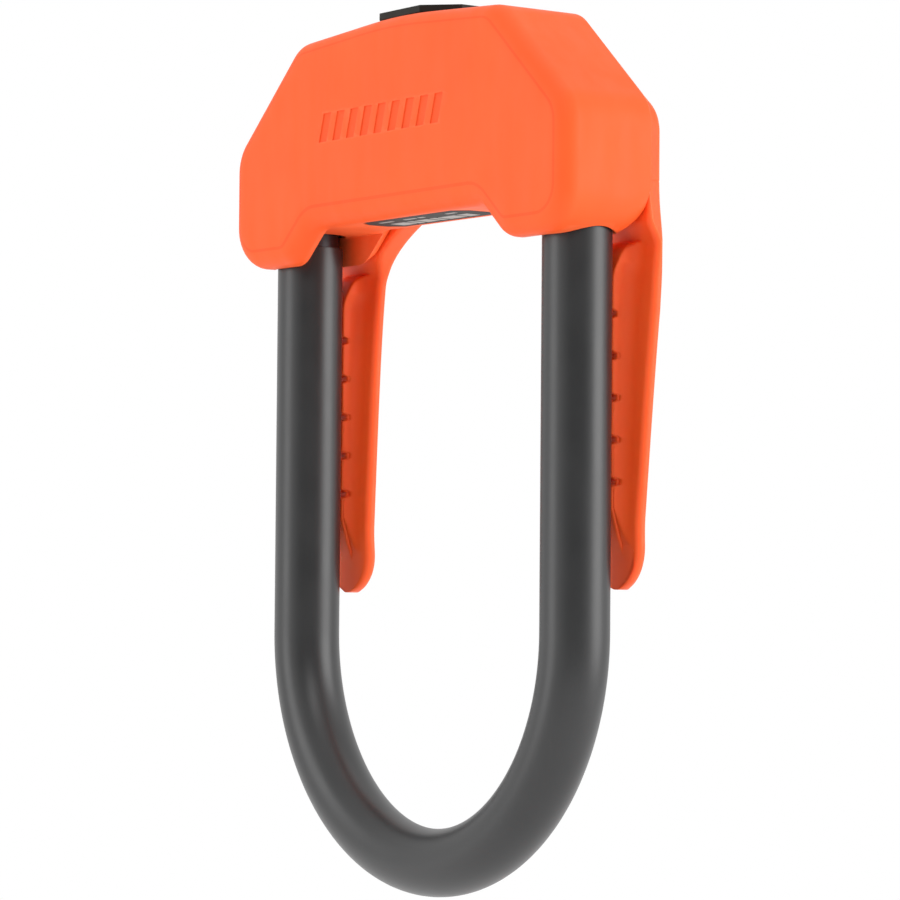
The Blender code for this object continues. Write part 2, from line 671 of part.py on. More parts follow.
def drive_cam():
    """Tail piece turned by the rotor: a lugged head, a shaft and a cam disc with two pins."""
    centre = (LOCK_X, 0.0)
    low, high = CAM_Z
    under, top = CAM_HEAD_Z
    profile = [(AXIS_R, low), (CAM_R, low), (CAM_R, high), (CAM_SHAFT_R, high), (CAM_SHAFT_R, under),
               (CAM_R, under), (CAM_R, top), (AXIS_R, top)]
    cam = new_object("drive_cam", capped(turned(profile, centre, 20)), plated_steel(), pivot=KEY_AXIS)
    half_x, half_y = LUG_HALF
    under, top = under + 0.1 * MM, top - 0.1 * MM
    combine(cam, "lugs", box((LOCK_X - half_x, -half_y, under), (LOCK_X + half_x, half_y, top)), "UNION")
    pin_circle = BOLT_THROW / 2 / math.sin(math.radians(45))
    for name, angle in (("pin_right", -135), ("pin_left", 45)):
        a = math.radians(angle)
        at = (LOCK_X + pin_circle * math.cos(a), pin_circle * math.sin(a))
        combine(cam, name, cylinder(CAM_PIN_R, CAM_PIN_BOTTOM_Z, low + 0.5 * MM, at, 12), "UNION")
    return cam


def cylinder_housing():
    centre = (LOCK_X, 0.0)
    low, high = HOUSING_Z
    bore = ROTOR_R + GAP
    edge = 0.6 * MM
    profile = [(bore, low), (HOUSING_R, low), (HOUSING_R, high - edge), (HOUSING_R - edge, high), (bore, high)]
    housing = new_object("cylinder_housing", turned(profile, centre, 28), brass())
    groove = box((LOCK_X - 7.4 * MM, -1 * MM, 19.8 * MM), (LOCK_X, 1 * MM, 34 * MM))
    combine(housing, "sidebar_groove", groove)
    return housing


def rotor():
    """Drum that the key turns: closed front face with the keyhole, open tail with two lug slots."""
    centre = (LOCK_X, 0.0)
    low, high = ROTOR_Z
    face = ROTOR_FACE
    profile = [(ROTOR_BORE_R, low), (ROTOR_R, low), (ROTOR_R, high), (KEYHOLE_R, high), (KEYHOLE_R, high - face),
               (ROTOR_BORE_R, high - face)]
    drum = new_object("rotor", turned(profile, centre, 28), brass(), pivot=KEY_AXIS)
    half = LUG_HALF[1] + GAP
    combine(drum, "lug_slots", box((LOCK_X - 7 * MM, -half, 17 * MM), (LOCK_X + 7 * MM, half, 19.9 * MM)))
    low, high = SIDEBAR_Z[0] - 0.4 * MM, SIDEBAR_Z[1] + 1.2 * MM
    combine(drum, "sidebar_slot", box((LOCK_X - SIDEBAR_PLAY, 0.0, low), (LOCK_X + SIDEBAR_PLAY, 7 * MM, high)))
    return drum


def key_slot(low, high):
    half_x, half_y = KEY_SLOT_HALF
    return box((LOCK_X - half_x, -half_y, low), (LOCK_X + half_x, half_y, high))


def guard_disc():
    """Hardened plate with the key slot, just under the rotor's face."""
    low, high = GUARD_Z
    bm = cylinder(DISC_R, low, high, (LOCK_X, 0.0), 20)
    disc = new_object("guard_disc", bm, hardened_steel(), pivot=KEY_AXIS)
    combine(disc, "key_slot", key_slot(low - MM, high + MM))
    return disc


def disc_stack():
    """Detainer discs with a key slot and a gate, and a plain spacer between each two."""
    z = STACK_BOTTOM_Z
    for i in range(DISC_COUNT):
        blank = cylinder(DISC_R, z, z + DISC_THICK, (LOCK_X, 0.0), 20)
        disc = new_object(f"detainer_disc_{i + 1}", blank, brass(), pivot=KEY_AXIS)
        combine(disc, "key_slot", key_slot(z - MM, z + DISC_THICK + MM))
        top = z + DISC_THICK + MM
        gate = box((LOCK_X - GATE_HALF, GATE_FLOOR, z - MM), (LOCK_X + GATE_HALF, DISC_R + MM, top))
        combine(disc, "gate", gate)
        z += DISC_THICK + DISC_GAP
        if i < DISC_COUNT - 1:
            inner, outer = SPACER_R
            ring = [(inner, z), (outer, z), (outer, z + SPACER_THICK), (inner, z + SPACER_THICK)]
            spacer = turned(ring, (LOCK_X, 0.0), 16)
            new_object(f"disc_spacer_{i + 1}", spacer, plated_steel(), pivot=KEY_AXIS)
            z += SPACER_THICK + DISC_GAP


def sidebar():
    bar = cylinder(SIDEBAR_R, *SIDEBAR_Z, (LOCK_X, SIDEBAR_AT), 10)
    return new_object("sidebar", bar, plated_steel(), pivot=KEY_AXIS)


def keyhole_bezel():
    """Black octagonal surround: round neck into the casing, track for the shutter on top."""
    half_x, half_y = BEZEL_HALF
    cut = BEZEL_CHAMFER
    ring = [(half_x, half_y - cut), (half_x - cut, half_y), (cut - half_x, half_y), (-half_x, half_y - cut),
            (-half_x, cut - half_y), (cut - half_x, -half_y), (half_x - cut, -half_y), (half_x, cut - half_y)]
    bezel = new_object("keyhole_bezel", loft([[(BEZEL_X + x, y, z) for x, y in ring] for z in BEZEL_Z]),
                       black_plastic())
    neck = cylinder(NECK_R, NECK_BOTTOM_Z, BEZEL_Z[0] + 0.1 * MM, (LOCK_X, 0.0), 28)
    combine(bezel, "neck", neck, "UNION")
    low_x = LOCK_X - SHUTTER_HALF_X - GAP
    high_x = LOCK_X + SHUTTER_HALF_X + SHUTTER_TRAVEL + GAP
    low, high = TRACK_Z
    combine(bezel, "track", box((low_x, -TRACK_HALF_Y, low), (high_x, TRACK_HALF_Y, high)))
    middle = (low + high) / 2
    combine(bezel, "window", box((low_x, -WINDOW_HALF_Y, middle), (high_x, WINDOW_HALF_Y, BEZEL_Z[1] + 1 * MM)))
    combine(bezel, "key_way", cylinder(NECK_BORE_R, NECK_BOTTOM_Z - 1 * MM, middle, (LOCK_X, 0.0), 24))
    return bezel


def dust_cover():
    """Shutter held under the surround's lips, with thumb ridges."""
    half = SHUTTER_HALF_X
    low, high = SHUTTER_Z
    slab = box((LOCK_X - half, -SHUTTER_HALF_Y, low), (LOCK_X + half, SHUTTER_HALF_Y, high))
    cover = new_object("dust_cover", slab, black_plastic(), pivot=(LOCK_X, 0.0, low))
    middle = (low + high) / 2
    top = box((LOCK_X - half, -SHUTTER_TOP_HALF_Y, middle), (LOCK_X + half, SHUTTER_TOP_HALF_Y, SHUTTER_TOP_Z))
    combine(cover, "top", top, "UNION")
    width, length = RIDGE_HALF
    for k in range(RIDGE_COUNT):
        x = LOCK_X + (k - (RIDGE_COUNT - 1) / 2) * RIDGE_PITCH
        ridge = box((x - width, -length, SHUTTER_TOP_Z - 0.2 * MM), (x + width, length, RIDGE_TOP_Z))
        combine(cover, f"ridge_{k}", ridge, "UNION")
    return cover


def main():
    clear_scene()
    front_casing()
    rear_cover()
    rear_screws()
    belt_clip("left", -1)
    belt_clip("right", 1)
    underside_plate()
    keyhole_bezel()
    dust_cover()
    shackle_bar()
    shackle_sleeve()
    leg_bushes()
    crossbar_tube()
    end_plates()
    bolt_guides()
    deadbolts()
    drive_cam()
    cylinder_housing()
    rotor()
    guard_disc()
    disc_stack()
    sidebar()


main()
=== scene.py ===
"""Looks for the U lock: moulded orange shell and clips, sleeved shackle, black keyhole surround."""
import json
import math

import bmesh
import bpy
from mathutils import Matrix, Vector


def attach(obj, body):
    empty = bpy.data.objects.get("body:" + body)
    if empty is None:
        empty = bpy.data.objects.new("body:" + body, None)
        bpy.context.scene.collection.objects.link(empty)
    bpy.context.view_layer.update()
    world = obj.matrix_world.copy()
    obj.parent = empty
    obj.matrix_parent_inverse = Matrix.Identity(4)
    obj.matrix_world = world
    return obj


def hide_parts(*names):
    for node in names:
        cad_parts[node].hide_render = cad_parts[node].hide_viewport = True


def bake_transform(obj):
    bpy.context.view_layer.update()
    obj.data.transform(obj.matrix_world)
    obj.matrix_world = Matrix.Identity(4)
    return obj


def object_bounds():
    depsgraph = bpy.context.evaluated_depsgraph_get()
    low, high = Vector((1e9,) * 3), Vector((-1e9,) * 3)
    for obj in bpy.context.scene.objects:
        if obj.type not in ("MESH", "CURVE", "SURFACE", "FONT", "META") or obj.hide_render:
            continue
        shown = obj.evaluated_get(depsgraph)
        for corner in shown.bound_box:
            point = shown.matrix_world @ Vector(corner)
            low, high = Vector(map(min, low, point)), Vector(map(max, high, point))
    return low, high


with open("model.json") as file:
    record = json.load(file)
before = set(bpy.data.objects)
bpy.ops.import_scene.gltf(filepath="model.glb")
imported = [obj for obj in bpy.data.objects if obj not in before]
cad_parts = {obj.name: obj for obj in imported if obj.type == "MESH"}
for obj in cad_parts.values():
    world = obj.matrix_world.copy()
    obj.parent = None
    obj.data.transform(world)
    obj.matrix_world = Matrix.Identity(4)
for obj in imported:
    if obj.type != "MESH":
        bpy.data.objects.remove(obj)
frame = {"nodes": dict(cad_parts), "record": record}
CAD_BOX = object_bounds()
CAD_BOX_LOW_Z = min(p[2] for p in CAD_BOX)
NODES = frame["nodes"]
MM = 0.001

# Shackle
LEG_X = 44.0 * MM
SLEEVE_R = 6.5 * MM
SLEEVE_BORE_R = 6.05 * MM
BAR_R = 5.75 * MM
BAR_TIP = 1.2 * MM             # height of the rounded ends
BEND_Z = -79.4 * MM
SLEEVE_TOP_Z = -2.4 * MM
BAR_TOP_Z = 13.2 * MM
NOTCH_DEPTH = 3.65 * MM
NOTCH_Z = (6.5 * MM, 11.8 * MM)
SHACKLE_TRAVEL = 50.0 * MM

# Casing
CASE_FRONT_Y = -12.0 * MM
CASE_BACK_Y = 9.3 * MM
FRONT_ROUND = 4.0 * MM
FRONT_INSETS = (4.5, 5.2, 5.2, 6.0, 6.5, 6.8)    # mm the rounded edge reaches in, side by side
EDGE_ONSET = 2.6               # above 2 the rounding starts gently from the flat front
UNDER_ARC_Y = 2.8 * MM         # behind this the underside curves up to the rear cover
UNDER_ARC_R = 9.0 * MM
BACK_RIM = 0.5 * MM
DRAFT = 0.7 * MM
CELL = 2.5 * MM
HALF_WIDTH = 55.0 * MM
TOP_Z = 39.0 * MM
TOP_CORNER = (33.0 * MM, 36.9 * MM)
SIDE_CORNER_Z = 16.8 * MM
FOOT_Z = -6.8 * MM
FOOT_INNER_X = 35.0 * MM
RECESS_X = 27.5 * MM
WALL = 2.4 * MM
FLOOR = 2.0 * MM
LEG_HOLE_R = 7.1 * MM
POSTS = (
    (-37.0 * MM, 21.5 * MM),
    (37.0 * MM, 21.5 * MM),
    (-21.0 * MM, 29.5 * MM),
    (21.0 * MM, 29.5 * MM),
)
POST_R = 3.0 * MM
POST_BORE_R = 1.25 * MM

# Rear cover and clips
COVER_FRONT_Y = 9.6 * MM
COVER_BACK_Y = 14.3 * MM
COVER_HALF_WIDTH = 51.3 * MM
COVER_BOTTOM_Z = 3.8 * MM
COVER_CORNER_X = 32.6 * MM
COVER_SOFT_EDGE = (1.7 * MM, 1.8 * MM)           # width and depth of its rounded back edge
COVER_FLARE = 1.5 * MM
FLARE_PROFILE = [(0.0, 1.0), (0.4 * MM, 0.72), (0.9 * MM, 0.42), (1.5 * MM, 0.18), (2.2 * MM, 0.04)]
CLIP_TIP_Z = -71.4 * MM
CLIP_TIP_R = 8.2 * MM
CLIP_HALF_WIDTH = 7.5 * MM
CLIP_THICK = 2.4 * MM
CLIP_BEND_Z = -7.0 * MM
CLIP_LEAN = 0.033
RIB_HALF = 2.0 * MM
RIB_FRONT_Y = 6.85 * MM
NOTCH_COUNT = 5
NOTCH_PITCH = 7.75 * MM
NOTCH_TOP_Z = -20.6 * MM

# Keyhole surround
LOCK_X = -6.0 * MM
BEZEL_X = -1.7 * MM
BEZEL_HALF = (12.5 * MM, 8.3 * MM)
BEZEL_CHAMFER = 5.8 * MM
BEZEL_Z = (38.75 * MM, 40.2 * MM)
NECK_R = 6.3 * MM
TRACK_HALF_Y = 4.8 * MM
TRACK_Z = (39.0 * MM, 39.75 * MM)
WINDOW_HALF_Y = 4.1 * MM
SHUTTER_HALF_X = 5.2 * MM
SHUTTER_TRAVEL = 8.3 * MM
SHUTTER_HALF_Y = 4.5 * MM
SHUTTER_TOP_HALF_Y = 3.8 * MM
SHUTTER_Z = (39.2 * MM, 39.55 * MM)
SHUTTER_TOP_Z = 40.0 * MM
RIDGE_TOP_Z = 40.4 * MM


# ---------------------------------------------------------------- materials

def node(mat, kind, **values):
    """A shader node with some of its input or property values set."""
    made = mat.node_tree.nodes.new(kind)
    for key, value in values.items():
        if key in made.inputs:
            made.inputs[key].default_value = value
        else:
            setattr(made, key, value)
    return made


def wire(mat, source, target, out=0, into=0):
    mat.node_tree.links.new(source.outputs[out], target.inputs[into])


def noise(mat, coords, scale, detail=2.0, stretch=None, roughness=0.5):
    """Noise in object space; stretch scales each axis on its own."""
    texture = node(mat, "ShaderNodeTexNoise", Scale=scale, Detail=detail, Roughness=roughness)
    if stretch:
        mapping = node(mat, "ShaderNodeMapping")
        mapping.inputs["Scale"].default_value = stretch
        wire(mat, coords, mapping, coords.outputs.find("Object"), 0)
        wire(mat, mapping, texture, 0, texture.inputs.find("Vector"))
    else:
        wire(mat, coords, texture, coords.outputs.find("Object"), texture.inputs.find("Vector"))
    return texture


def mapped(mat, source, low, high, from_low=0.3, from_high=0.7, out=0):
    """Map an output's values from one range to another."""
    made = node(mat, "ShaderNodeMapRange")
    made.inputs["From Min"].default_value = from_low
    made.inputs["From Max"].default_value = from_high
    made.inputs["To Min"].default_value = low
    made.inputs["To Max"].default_value = high
    wire(mat, source, made, out, 0)
    return made


def mixed(mat, factor, first, second, factor_out=0):
    """Colour mix; each side is a colour or a node."""
    made = node(mat, "ShaderNodeMix", data_type="RGBA")
    wire(mat, factor, made, factor_out, 0)
    for socket, side in ((6, first), (7, second)):
        if isinstance(side, tuple):
            made.inputs[socket].default_value = (*side, 1.0)
        else:
            wire(mat, side, made, color_out(side), socket)
    return made


def color_out(made):
    """Index of a node's colour output."""
    return 2 if made.bl_idname == "ShaderNodeMix" else 0


def finish_material(mat, color, rough, bumps, metallic=0.0, ior=1.46, level=0.5, glow=0.0):
    """Plug colour, roughness and a chain of bumps into the Principled shader."""
    shader = mat.node_tree.nodes["Principled BSDF"]
    shader.inputs["Subsurface Weight"].default_value = glow
    shader.inputs["Subsurface Radius"].default_value = (1.0, 0.3, 0.1)
    shader.inputs["Subsurface Scale"].default_value = 2.5 * MM
    shader.inputs["Metallic"].default_value = metallic
    shader.inputs["IOR"].default_value = ior
    shader.inputs["Specular IOR Level"].default_value = level
    wire(mat, color, shader, color_out(color), shader.inputs.find("Base Color"))
    wire(mat, rough, shader, 0, shader.inputs.find("Roughness"))
    last = None
    for source, strength, distance in bumps:
        bump = node(mat, "ShaderNodeBump", Strength=strength, Distance=distance)
        wire(mat, source, bump, 0, bump.inputs.find("Height"))
        if last:
            wire(mat, last, bump, 0, bump.inputs.find("Normal"))
        last = bump
    wire(mat, last, shader, 0, shader.inputs.find("Normal"))
    return mat


def new_material(name):
    """A material with its texture coordinates node."""
    mat = bpy.data.materials.new(name)
    mat.use_nodes = True
    return mat, node(mat, "ShaderNodeTexCoord")


def plastic(name, base, light, worn, rough, grain_scale, grain, wear=0.5, level=0.5, glow=0.0):
    """Moulded plastic: mottled colour, fine spark-eroded grain, paler rubbed edges."""
    mat, coords = new_material(name)
    cloud = noise(mat, coords, 55.0, 3.0)
    flow = noise(mat, coords, 240.0, 2.0, (1.0, 1.0, 0.25))
    fine = noise(mat, coords, grain_scale, 2.0)
    coarse = noise(mat, coords, grain_scale * 0.22, 2.0)
    mottled = mixed(mat, mapped(mat, cloud, 0.0, 1.0), base, light)
    edge = node(mat, "ShaderNodeNewGeometry")
    rub = mapped(mat, edge, 0.0, wear, 0.53, 0.62, edge.outputs.find("Pointiness"))
    patchy = node(mat, "ShaderNodeMath", operation="MULTIPLY")
    wire(mat, rub, patchy, 0, 0)
    wire(mat, mapped(mat, flow, 0.25, 1.0), patchy, 0, 1)
    color = mixed(mat, patchy, mottled, worn)
    roughness = node(mat, "ShaderNodeMath", operation="ADD")
    wire(mat, mapped(mat, flow, rough - 0.05, rough + 0.05), roughness, 0, 0)
    wire(mat, mapped(mat, fine, -0.03, 0.03), roughness, 0, 1)
    bumps = [(coarse, grain * 0.5, 0.0002), (fine, grain, 0.0001)]
    return finish_material(mat, color, roughness, bumps, level=level, glow=glow)


SLEEVE_DARK = (0.0095, 0.0098, 0.0104)
SLEEVE_LIGHT = (0.0135, 0.0138, 0.0144)
SLEEVE_STREAK = (0.019, 0.0194, 0.0202)
SLEEVE_WORN = (0.045, 0.0455, 0.047)


def sleeve_material():
    """Satin dark grey coating: fine drawn streaks along the tube, soft mottling, rubbed spots."""
    mat, coords = new_material("satin_grey_sleeve")
    uv = node(mat, "ShaderNodeUVMap", uv_map="along")
    mapping = node(mat, "ShaderNodeMapping")
    mapping.inputs["Scale"].default_value = (1.0, 0.03, 1.0)
    wire(mat, uv, mapping)
    streak = node(mat, "ShaderNodeTexNoise", Scale=1500.0, Detail=3.0)
    wire(mat, mapping, streak, 0, streak.inputs.find("Vector"))
    cloud = noise(mat, coords, 90.0, 4.0)
    fine = noise(mat, coords, 3800.0, 2.0)
    scuff = noise(mat, coords, 420.0, 5.0, (1.0, 1.0, 0.15), 0.7)
    base = mixed(mat, mapped(mat, cloud, 0.0, 1.0), SLEEVE_DARK, SLEEVE_LIGHT)
    streaked = mixed(mat, mapped(mat, streak, 0.0, 0.5), base, SLEEVE_STREAK)
    color = mixed(mat, mapped(mat, scuff, 0.0, 0.35, 0.66, 0.80), streaked, SLEEVE_WORN)
    roughness = node(mat, "ShaderNodeMath", operation="ADD")
    wire(mat, mapped(mat, streak, 0.35, 0.41), roughness, 0, 0)
    wire(mat, mapped(mat, cloud, -0.02, 0.03), roughness, 0, 1)
    bumps = [(streak, 0.035, 0.0001), (fine, 0.05, 0.00005)]
    return finish_material(mat, color, roughness, bumps, ior=1.6)


def metal(name, dark, light, rough, stretch, scratch=0.08):
    """Metal with drawn or turned lines, tarnish clouds and uneven roughness."""
    mat, coords = new_material(name)
    lines = noise(mat, coords, 900.0, 4.0, stretch, 0.6)
    cloud = noise(mat, coords, 120.0, 4.0)
    color = mixed(mat, mapped(mat, cloud, 0.0, 1.0, 0.35, 0.65), dark, light)
    roughness = node(mat, "ShaderNodeMath", operation="ADD")
    wire(mat, mapped(mat, lines, rough - 0.07, rough + 0.07), roughness, 0, 0)
    wire(mat, mapped(mat, cloud, -0.04, 0.05), roughness, 0, 1)
    return finish_material(mat, color, roughness, [(lines, scratch, 0.0001)], metallic=1.0)


ORANGE_BASE = (0.97, 0.108, 0.017)
ORANGE_LIGHT = (1.0, 0.118, 0.020)
ORANGE_WORN = (1.0, 0.18, 0.06)
ORANGE = plastic(
    "moulded_orange", ORANGE_BASE, ORANGE_LIGHT, ORANGE_WORN,
    rough=0.56, grain_scale=5200.0, grain=0.05, level=0.3)
ORANGE_CLIP = plastic(
    "moulded_orange_clip", ORANGE_BASE, ORANGE_LIGHT, ORANGE_WORN,
    rough=0.5, grain_scale=6500.0, grain=0.035, level=0.35, glow=0.3)
# Painted shade: a darker orange for the floors of the pressed-in bars, standing in for the shade inside them.
ORANGE_RECESS_SHADE = plastic(
    "moulded_orange_painted_recess_shade", (0.92, 0.086, 0.014), (0.95, 0.095, 0.016), ORANGE_BASE,
    rough=0.6, grain_scale=5200.0, grain=0.06, wear=0.1, level=0.3)
BLACK = plastic(
    "black_plastic_grain", (0.008, 0.0072, 0.0045), (0.014, 0.0128, 0.008), (0.04, 0.036, 0.026),
    rough=0.5, grain_scale=2600.0, grain=0.12, wear=0.35, level=0.25)
PLATE = plastic(
    "plate_grey", (0.03, 0.028, 0.027), (0.042, 0.039, 0.037), (0.1, 0.095, 0.09),
    rough=0.6, grain_scale=4200.0, grain=0.06, level=0.15)
PALE = plastic(
    "pale_print", (0.34, 0.32, 0.3), (0.42, 0.4, 0.38), (0.5, 0.48, 0.46),
    rough=0.6, grain_scale=4200.0, grain=0.04, level=0.2)
SLEEVE = sleeve_material()
METALS = {
    "hardened_steel": metal(
        "hardened_steel_drawn", (0.03, 0.03, 0.032), (0.06, 0.06, 0.063), 0.42, (1, 1, 0.05)),
    "plated_steel": metal(
        "zinc_plated_steel", (0.36, 0.36, 0.355), (0.48, 0.48, 0.465), 0.38, (0.1, 1, 1)),
    "brass": metal(
        "turned_brass", (0.66, 0.46, 0.2), (0.82, 0.61, 0.3), 0.3, (1, 1, 0.08)),
    "zinc": metal(
        "die_cast_zinc", (0.5, 0.5, 0.51), (0.62, 0.62, 0.63), 0.48, (1, 1, 1), 0.2),
}
SLOT_MATERIALS = {
    "orange_plastic": ORANGE,
    "black_plastic": BLACK,
    "label_plate": PLATE,
    "grey_sleeve": SLEEVE,
    **METALS,
}


# ---------------------------------------------------------------- mesh tools

def loft(rings, closed_path=False):
    """Skin a list of equal rings; the two end rings are capped unless the path is closed."""
    bm = bmesh.new()
    loops = [[bm.verts.new(p) for p in ring] for ring in rings]
    pairs = list(zip(loops, loops[1:]))
    if closed_path:
        pairs.append((loops[-1], loops[0]))
    else:
        bm.faces.new(loops[0])
        bm.faces.new(loops[-1])
    for a, b in pairs:
        for i in range(len(a)):
            j = (i + 1) % len(a)
            bm.faces.new((a[i], a[j], b[j], b[i]))
    return bm


def box(low, high):
    ring = [(low[0], low[1]), (high[0], low[1]), (high[0], high[1]), (low[0], high[1])]
    return loft([[(x, y, z) for x, y in ring] for z in (low[2], high[2])])


def turned(profile, centre=(0.0, 0.0), sides=64):
    rings = []
    for k in range(sides):
        a = 2 * math.pi * k / sides
        rings.append([(centre[0] + r * math.cos(a), centre[1] + r * math.sin(a), z) for r, z in profile])
    bm = loft(rings, closed_path=True)
    bmesh.ops.remove_doubles(bm, verts=bm.verts[:], dist=0.004 * MM)
    return bm


def cylinder(radius, low, high, centre=(0.0, 0.0), sides=64):
    turn = [2 * math.pi * k / sides for k in range(sides)]
    ring = [(centre[0] + radius * math.cos(a), centre[1] + radius * math.sin(a)) for a in turn]
    return loft([[(x, y, z) for x, y in ring] for z in (low, high)])


def lay_along_y(bm, x, z):
    bm.transform(Matrix.Translation((x, 0, z)) @ Matrix.Rotation(math.radians(-90), 4, "X"))
    return bm


def new_object(name, bm, mats=()):
    bmesh.ops.recalc_face_normals(bm, faces=bm.faces[:])
    mesh = bpy.data.meshes.new(name)
    bm.to_mesh(mesh)
    bm.free()
    obj = bpy.data.objects.new(name, mesh)
    bpy.context.scene.collection.objects.link(obj)
    for mat in mats:
        mesh.materials.append(mat)
    return obj


def freeze(obj):
    """Replace an object's mesh by its evaluated one and drop the modifiers."""
    bpy.context.view_layer.update()
    done = bpy.data.meshes.new_from_object(obj.evaluated_get(bpy.context.evaluated_depsgraph_get()))
    obj.modifiers.clear()
    obj.data = done


def combine(target, tools):
    """Boolean a list of (operation, bmesh) into the target, in order."""
    made = []
    for i, (operation, bm) in enumerate(tools):
        tool = new_object(f"{target.name}_tool_{i}", bm)
        mod = target.modifiers.new(tool.name, "BOOLEAN")
        mod.object = tool
        mod.operation = operation
        mod.solver = "EXACT"
        made.append(tool)
    freeze(target)
    for tool in made:
        bpy.data.objects.remove(tool, do_unlink=True)


def soften(obj, width, segments=2, angle=35.0):
    """Round the hard edges a little."""
    mod = obj.modifiers.new("soft_edges", "BEVEL")
    mod.width = width
    mod.segments = segments
    mod.limit_method = "ANGLE"
    mod.angle_limit = math.radians(angle)
    freeze(obj)


def shade(obj, smooth, weighted=True):
    """Smooth shading that keeps large flat faces flat."""
    obj.data.shade_smooth()
    obj.data.set_sharp_from_angle(angle=math.radians(smooth))
    if not weighted:
        return
    mod = obj.modifiers.new("flat_faces", "WEIGHTED_NORMAL")
    mod.keep_sharp = True
    mod.weight = 80
    freeze(obj)


def place(obj, body, replaces=(), smooth=40.0, weighted=True):
    """Shading, then the body it rides on and the CAD nodes it stands for."""
    shade(obj, smooth, weighted)
    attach(obj, body)
    if replaces:
        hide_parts(*replaces)
    return obj


def fillet_outline(corners, steps):
    """Closed outline through (x, z, radius) corners, each rounded by an arc of steps segments."""
    points = []
    count = len(corners)
    for i, (x, z, radius) in enumerate(corners):
        here = Vector((x, z))
        back = (Vector(corners[i - 1][:2]) - here).normalized()
        ahead = (Vector(corners[(i + 1) % count][:2]) - here).normalized()
        half = back.angle(ahead) / 2
        reach = radius / math.tan(half)
        centre = here + (back + ahead).normalized() * (radius / math.sin(half))
        start = here + back * reach - centre
        end = here + ahead * reach - centre
        sweep = start.angle_signed(end)
        for k in range(steps + 1):
            points.append(centre + Matrix.Rotation(-sweep * k / steps, 2) @ start)
    return [(p.x, p.y) for p in points]


def mirrored(half):
    return half + [(-x, z, r) for x, z, r in reversed(half) if x > 0]


def offset_corners(corners, insets):
    """Move each side of a clockwise outline inwards; insets[i] belongs to side i to i+1."""
    count = len(corners)
    sides = []
    for i in range(count):
        a = Vector(corners[i][:2])
        b = Vector(corners[(i + 1) % count][:2])
        run = (b - a).normalized()
        sides.append((a + Vector((run.y, -run.x)) * insets[i], run))
    moved = []
    for i in range(count):
        (p, u), (q, v) = sides[i - 1], sides[i]
        turn = u.x * v.y - u.y * v.x
        t = ((q.x - p.x) * v.y - (q.y - p.y) * v.x) / turn
        corner = p + u * t
        inset = (insets[i - 1] + insets[i]) / 2
        change = -inset if turn < 0 else inset
        moved.append((corner.x, corner.y, max(corners[i][2] + change, 0.4 * MM)))
    return moved


def smoothstep(t):
    t = min(max(t, 0.0), 1.0)
    return t * t * (3 - 2 * t)


# ---------------------------------------------------------------- casing

CASE_CORNERS = mirrored([
    (0.0, TOP_Z, 160 * MM),
    (TOP_CORNER[0], TOP_CORNER[1], 8 * MM),
    (HALF_WIDTH, SIDE_CORNER_Z, 9 * MM),
    (HALF_WIDTH, FOOT_Z, 8.5 * MM),
    (FOOT_INNER_X, FOOT_Z, 6 * MM),
    (RECESS_X, 0.0, 4.5 * MM),
])


def case_insets(top, shoulder, end, foot, slope, recess):
    """One inset for each side of the outline, the same on the left and right."""
    half = [top, shoulder, end, foot, slope]
    return half + [recess] + half[::-1]


def case_ring(y, insets, lift=0.0, steps=12):
    """Outline at one depth; lift raises the feet and fades towards the side corners."""
    outline = fillet_outline(offset_corners(CASE_CORNERS, insets), steps)
    ring = []
    for x, z in outline:
        share = min(max((SIDE_CORNER_Z - z) / (SIDE_CORNER_Z - FOOT_Z), 0.0), 1.0)
        ring.append((x, y, z + lift * min(1.0, share * 1.35)))
    return ring


def case_rings():
    """Sections of the casing from its rounded front edge to the small rim at its back."""
    rings = []
    steps = 16
    for k in range(steps + 1):
        out = math.sin(math.radians(90 * k / steps))
        y = CASE_FRONT_Y + FRONT_ROUND * (1 - math.sqrt(max(1 - out ** EDGE_ONSET, 0.0)))
        rings.append(case_ring(y, [(1 - out) * i * MM for i in case_insets(*FRONT_INSETS)]))
    walls_y = CASE_FRONT_Y + FRONT_ROUND
    steps = 14
    for k in range(steps + 1):
        y = UNDER_ARC_Y + (CASE_BACK_Y - BACK_RIM - UNDER_ARC_Y) * k / steps
        lift = UNDER_ARC_R - math.sqrt(UNDER_ARC_R ** 2 - (y - UNDER_ARC_Y) ** 2)
        draft = DRAFT * (y - walls_y) / (CASE_BACK_Y - walls_y)
        rings.append(case_ring(y, case_insets(0, 0.1 * draft, draft, 0, 0, 0), lift))
    for k in range(1, 5):
        a = math.radians(22.5 * k)
        rim = BACK_RIM * (1 - math.cos(a))
        y = CASE_BACK_Y - BACK_RIM * (1 - math.sin(a))
        insets = case_insets(rim, rim + 0.1 * draft, rim + draft, 0, 0, 0)
        rings.append(case_ring(y, insets, lift + DRAFT * (1 - math.cos(a))))
    return rings


def cavity_bm():
    """Hollow inside the casing, a little smaller at its front end."""
    corners = mirrored([
        (0.0, TOP_Z - WALL, 160 * MM),
        (TOP_CORNER[0] - 0.9 * MM, TOP_CORNER[1] - WALL, 5.6 * MM),
        (HALF_WIDTH - WALL, SIDE_CORNER_Z - 1.1 * MM, 6.6 * MM),
        (HALF_WIDTH - WALL, FLOOR, 1.0 * MM),
    ])
    outline = fillet_outline(corners, 5)
    depths = (CASE_FRONT_Y + WALL, CASE_FRONT_Y + WALL + 2.5 * MM, CASE_BACK_Y + 1 * MM)
    shrink = (0.985, 1.0, 1.0)
    middle = 18 * MM
    return loft([[(x * s, y, middle + (z - middle) * s) for x, z in outline] for y, s in zip(depths, shrink)])


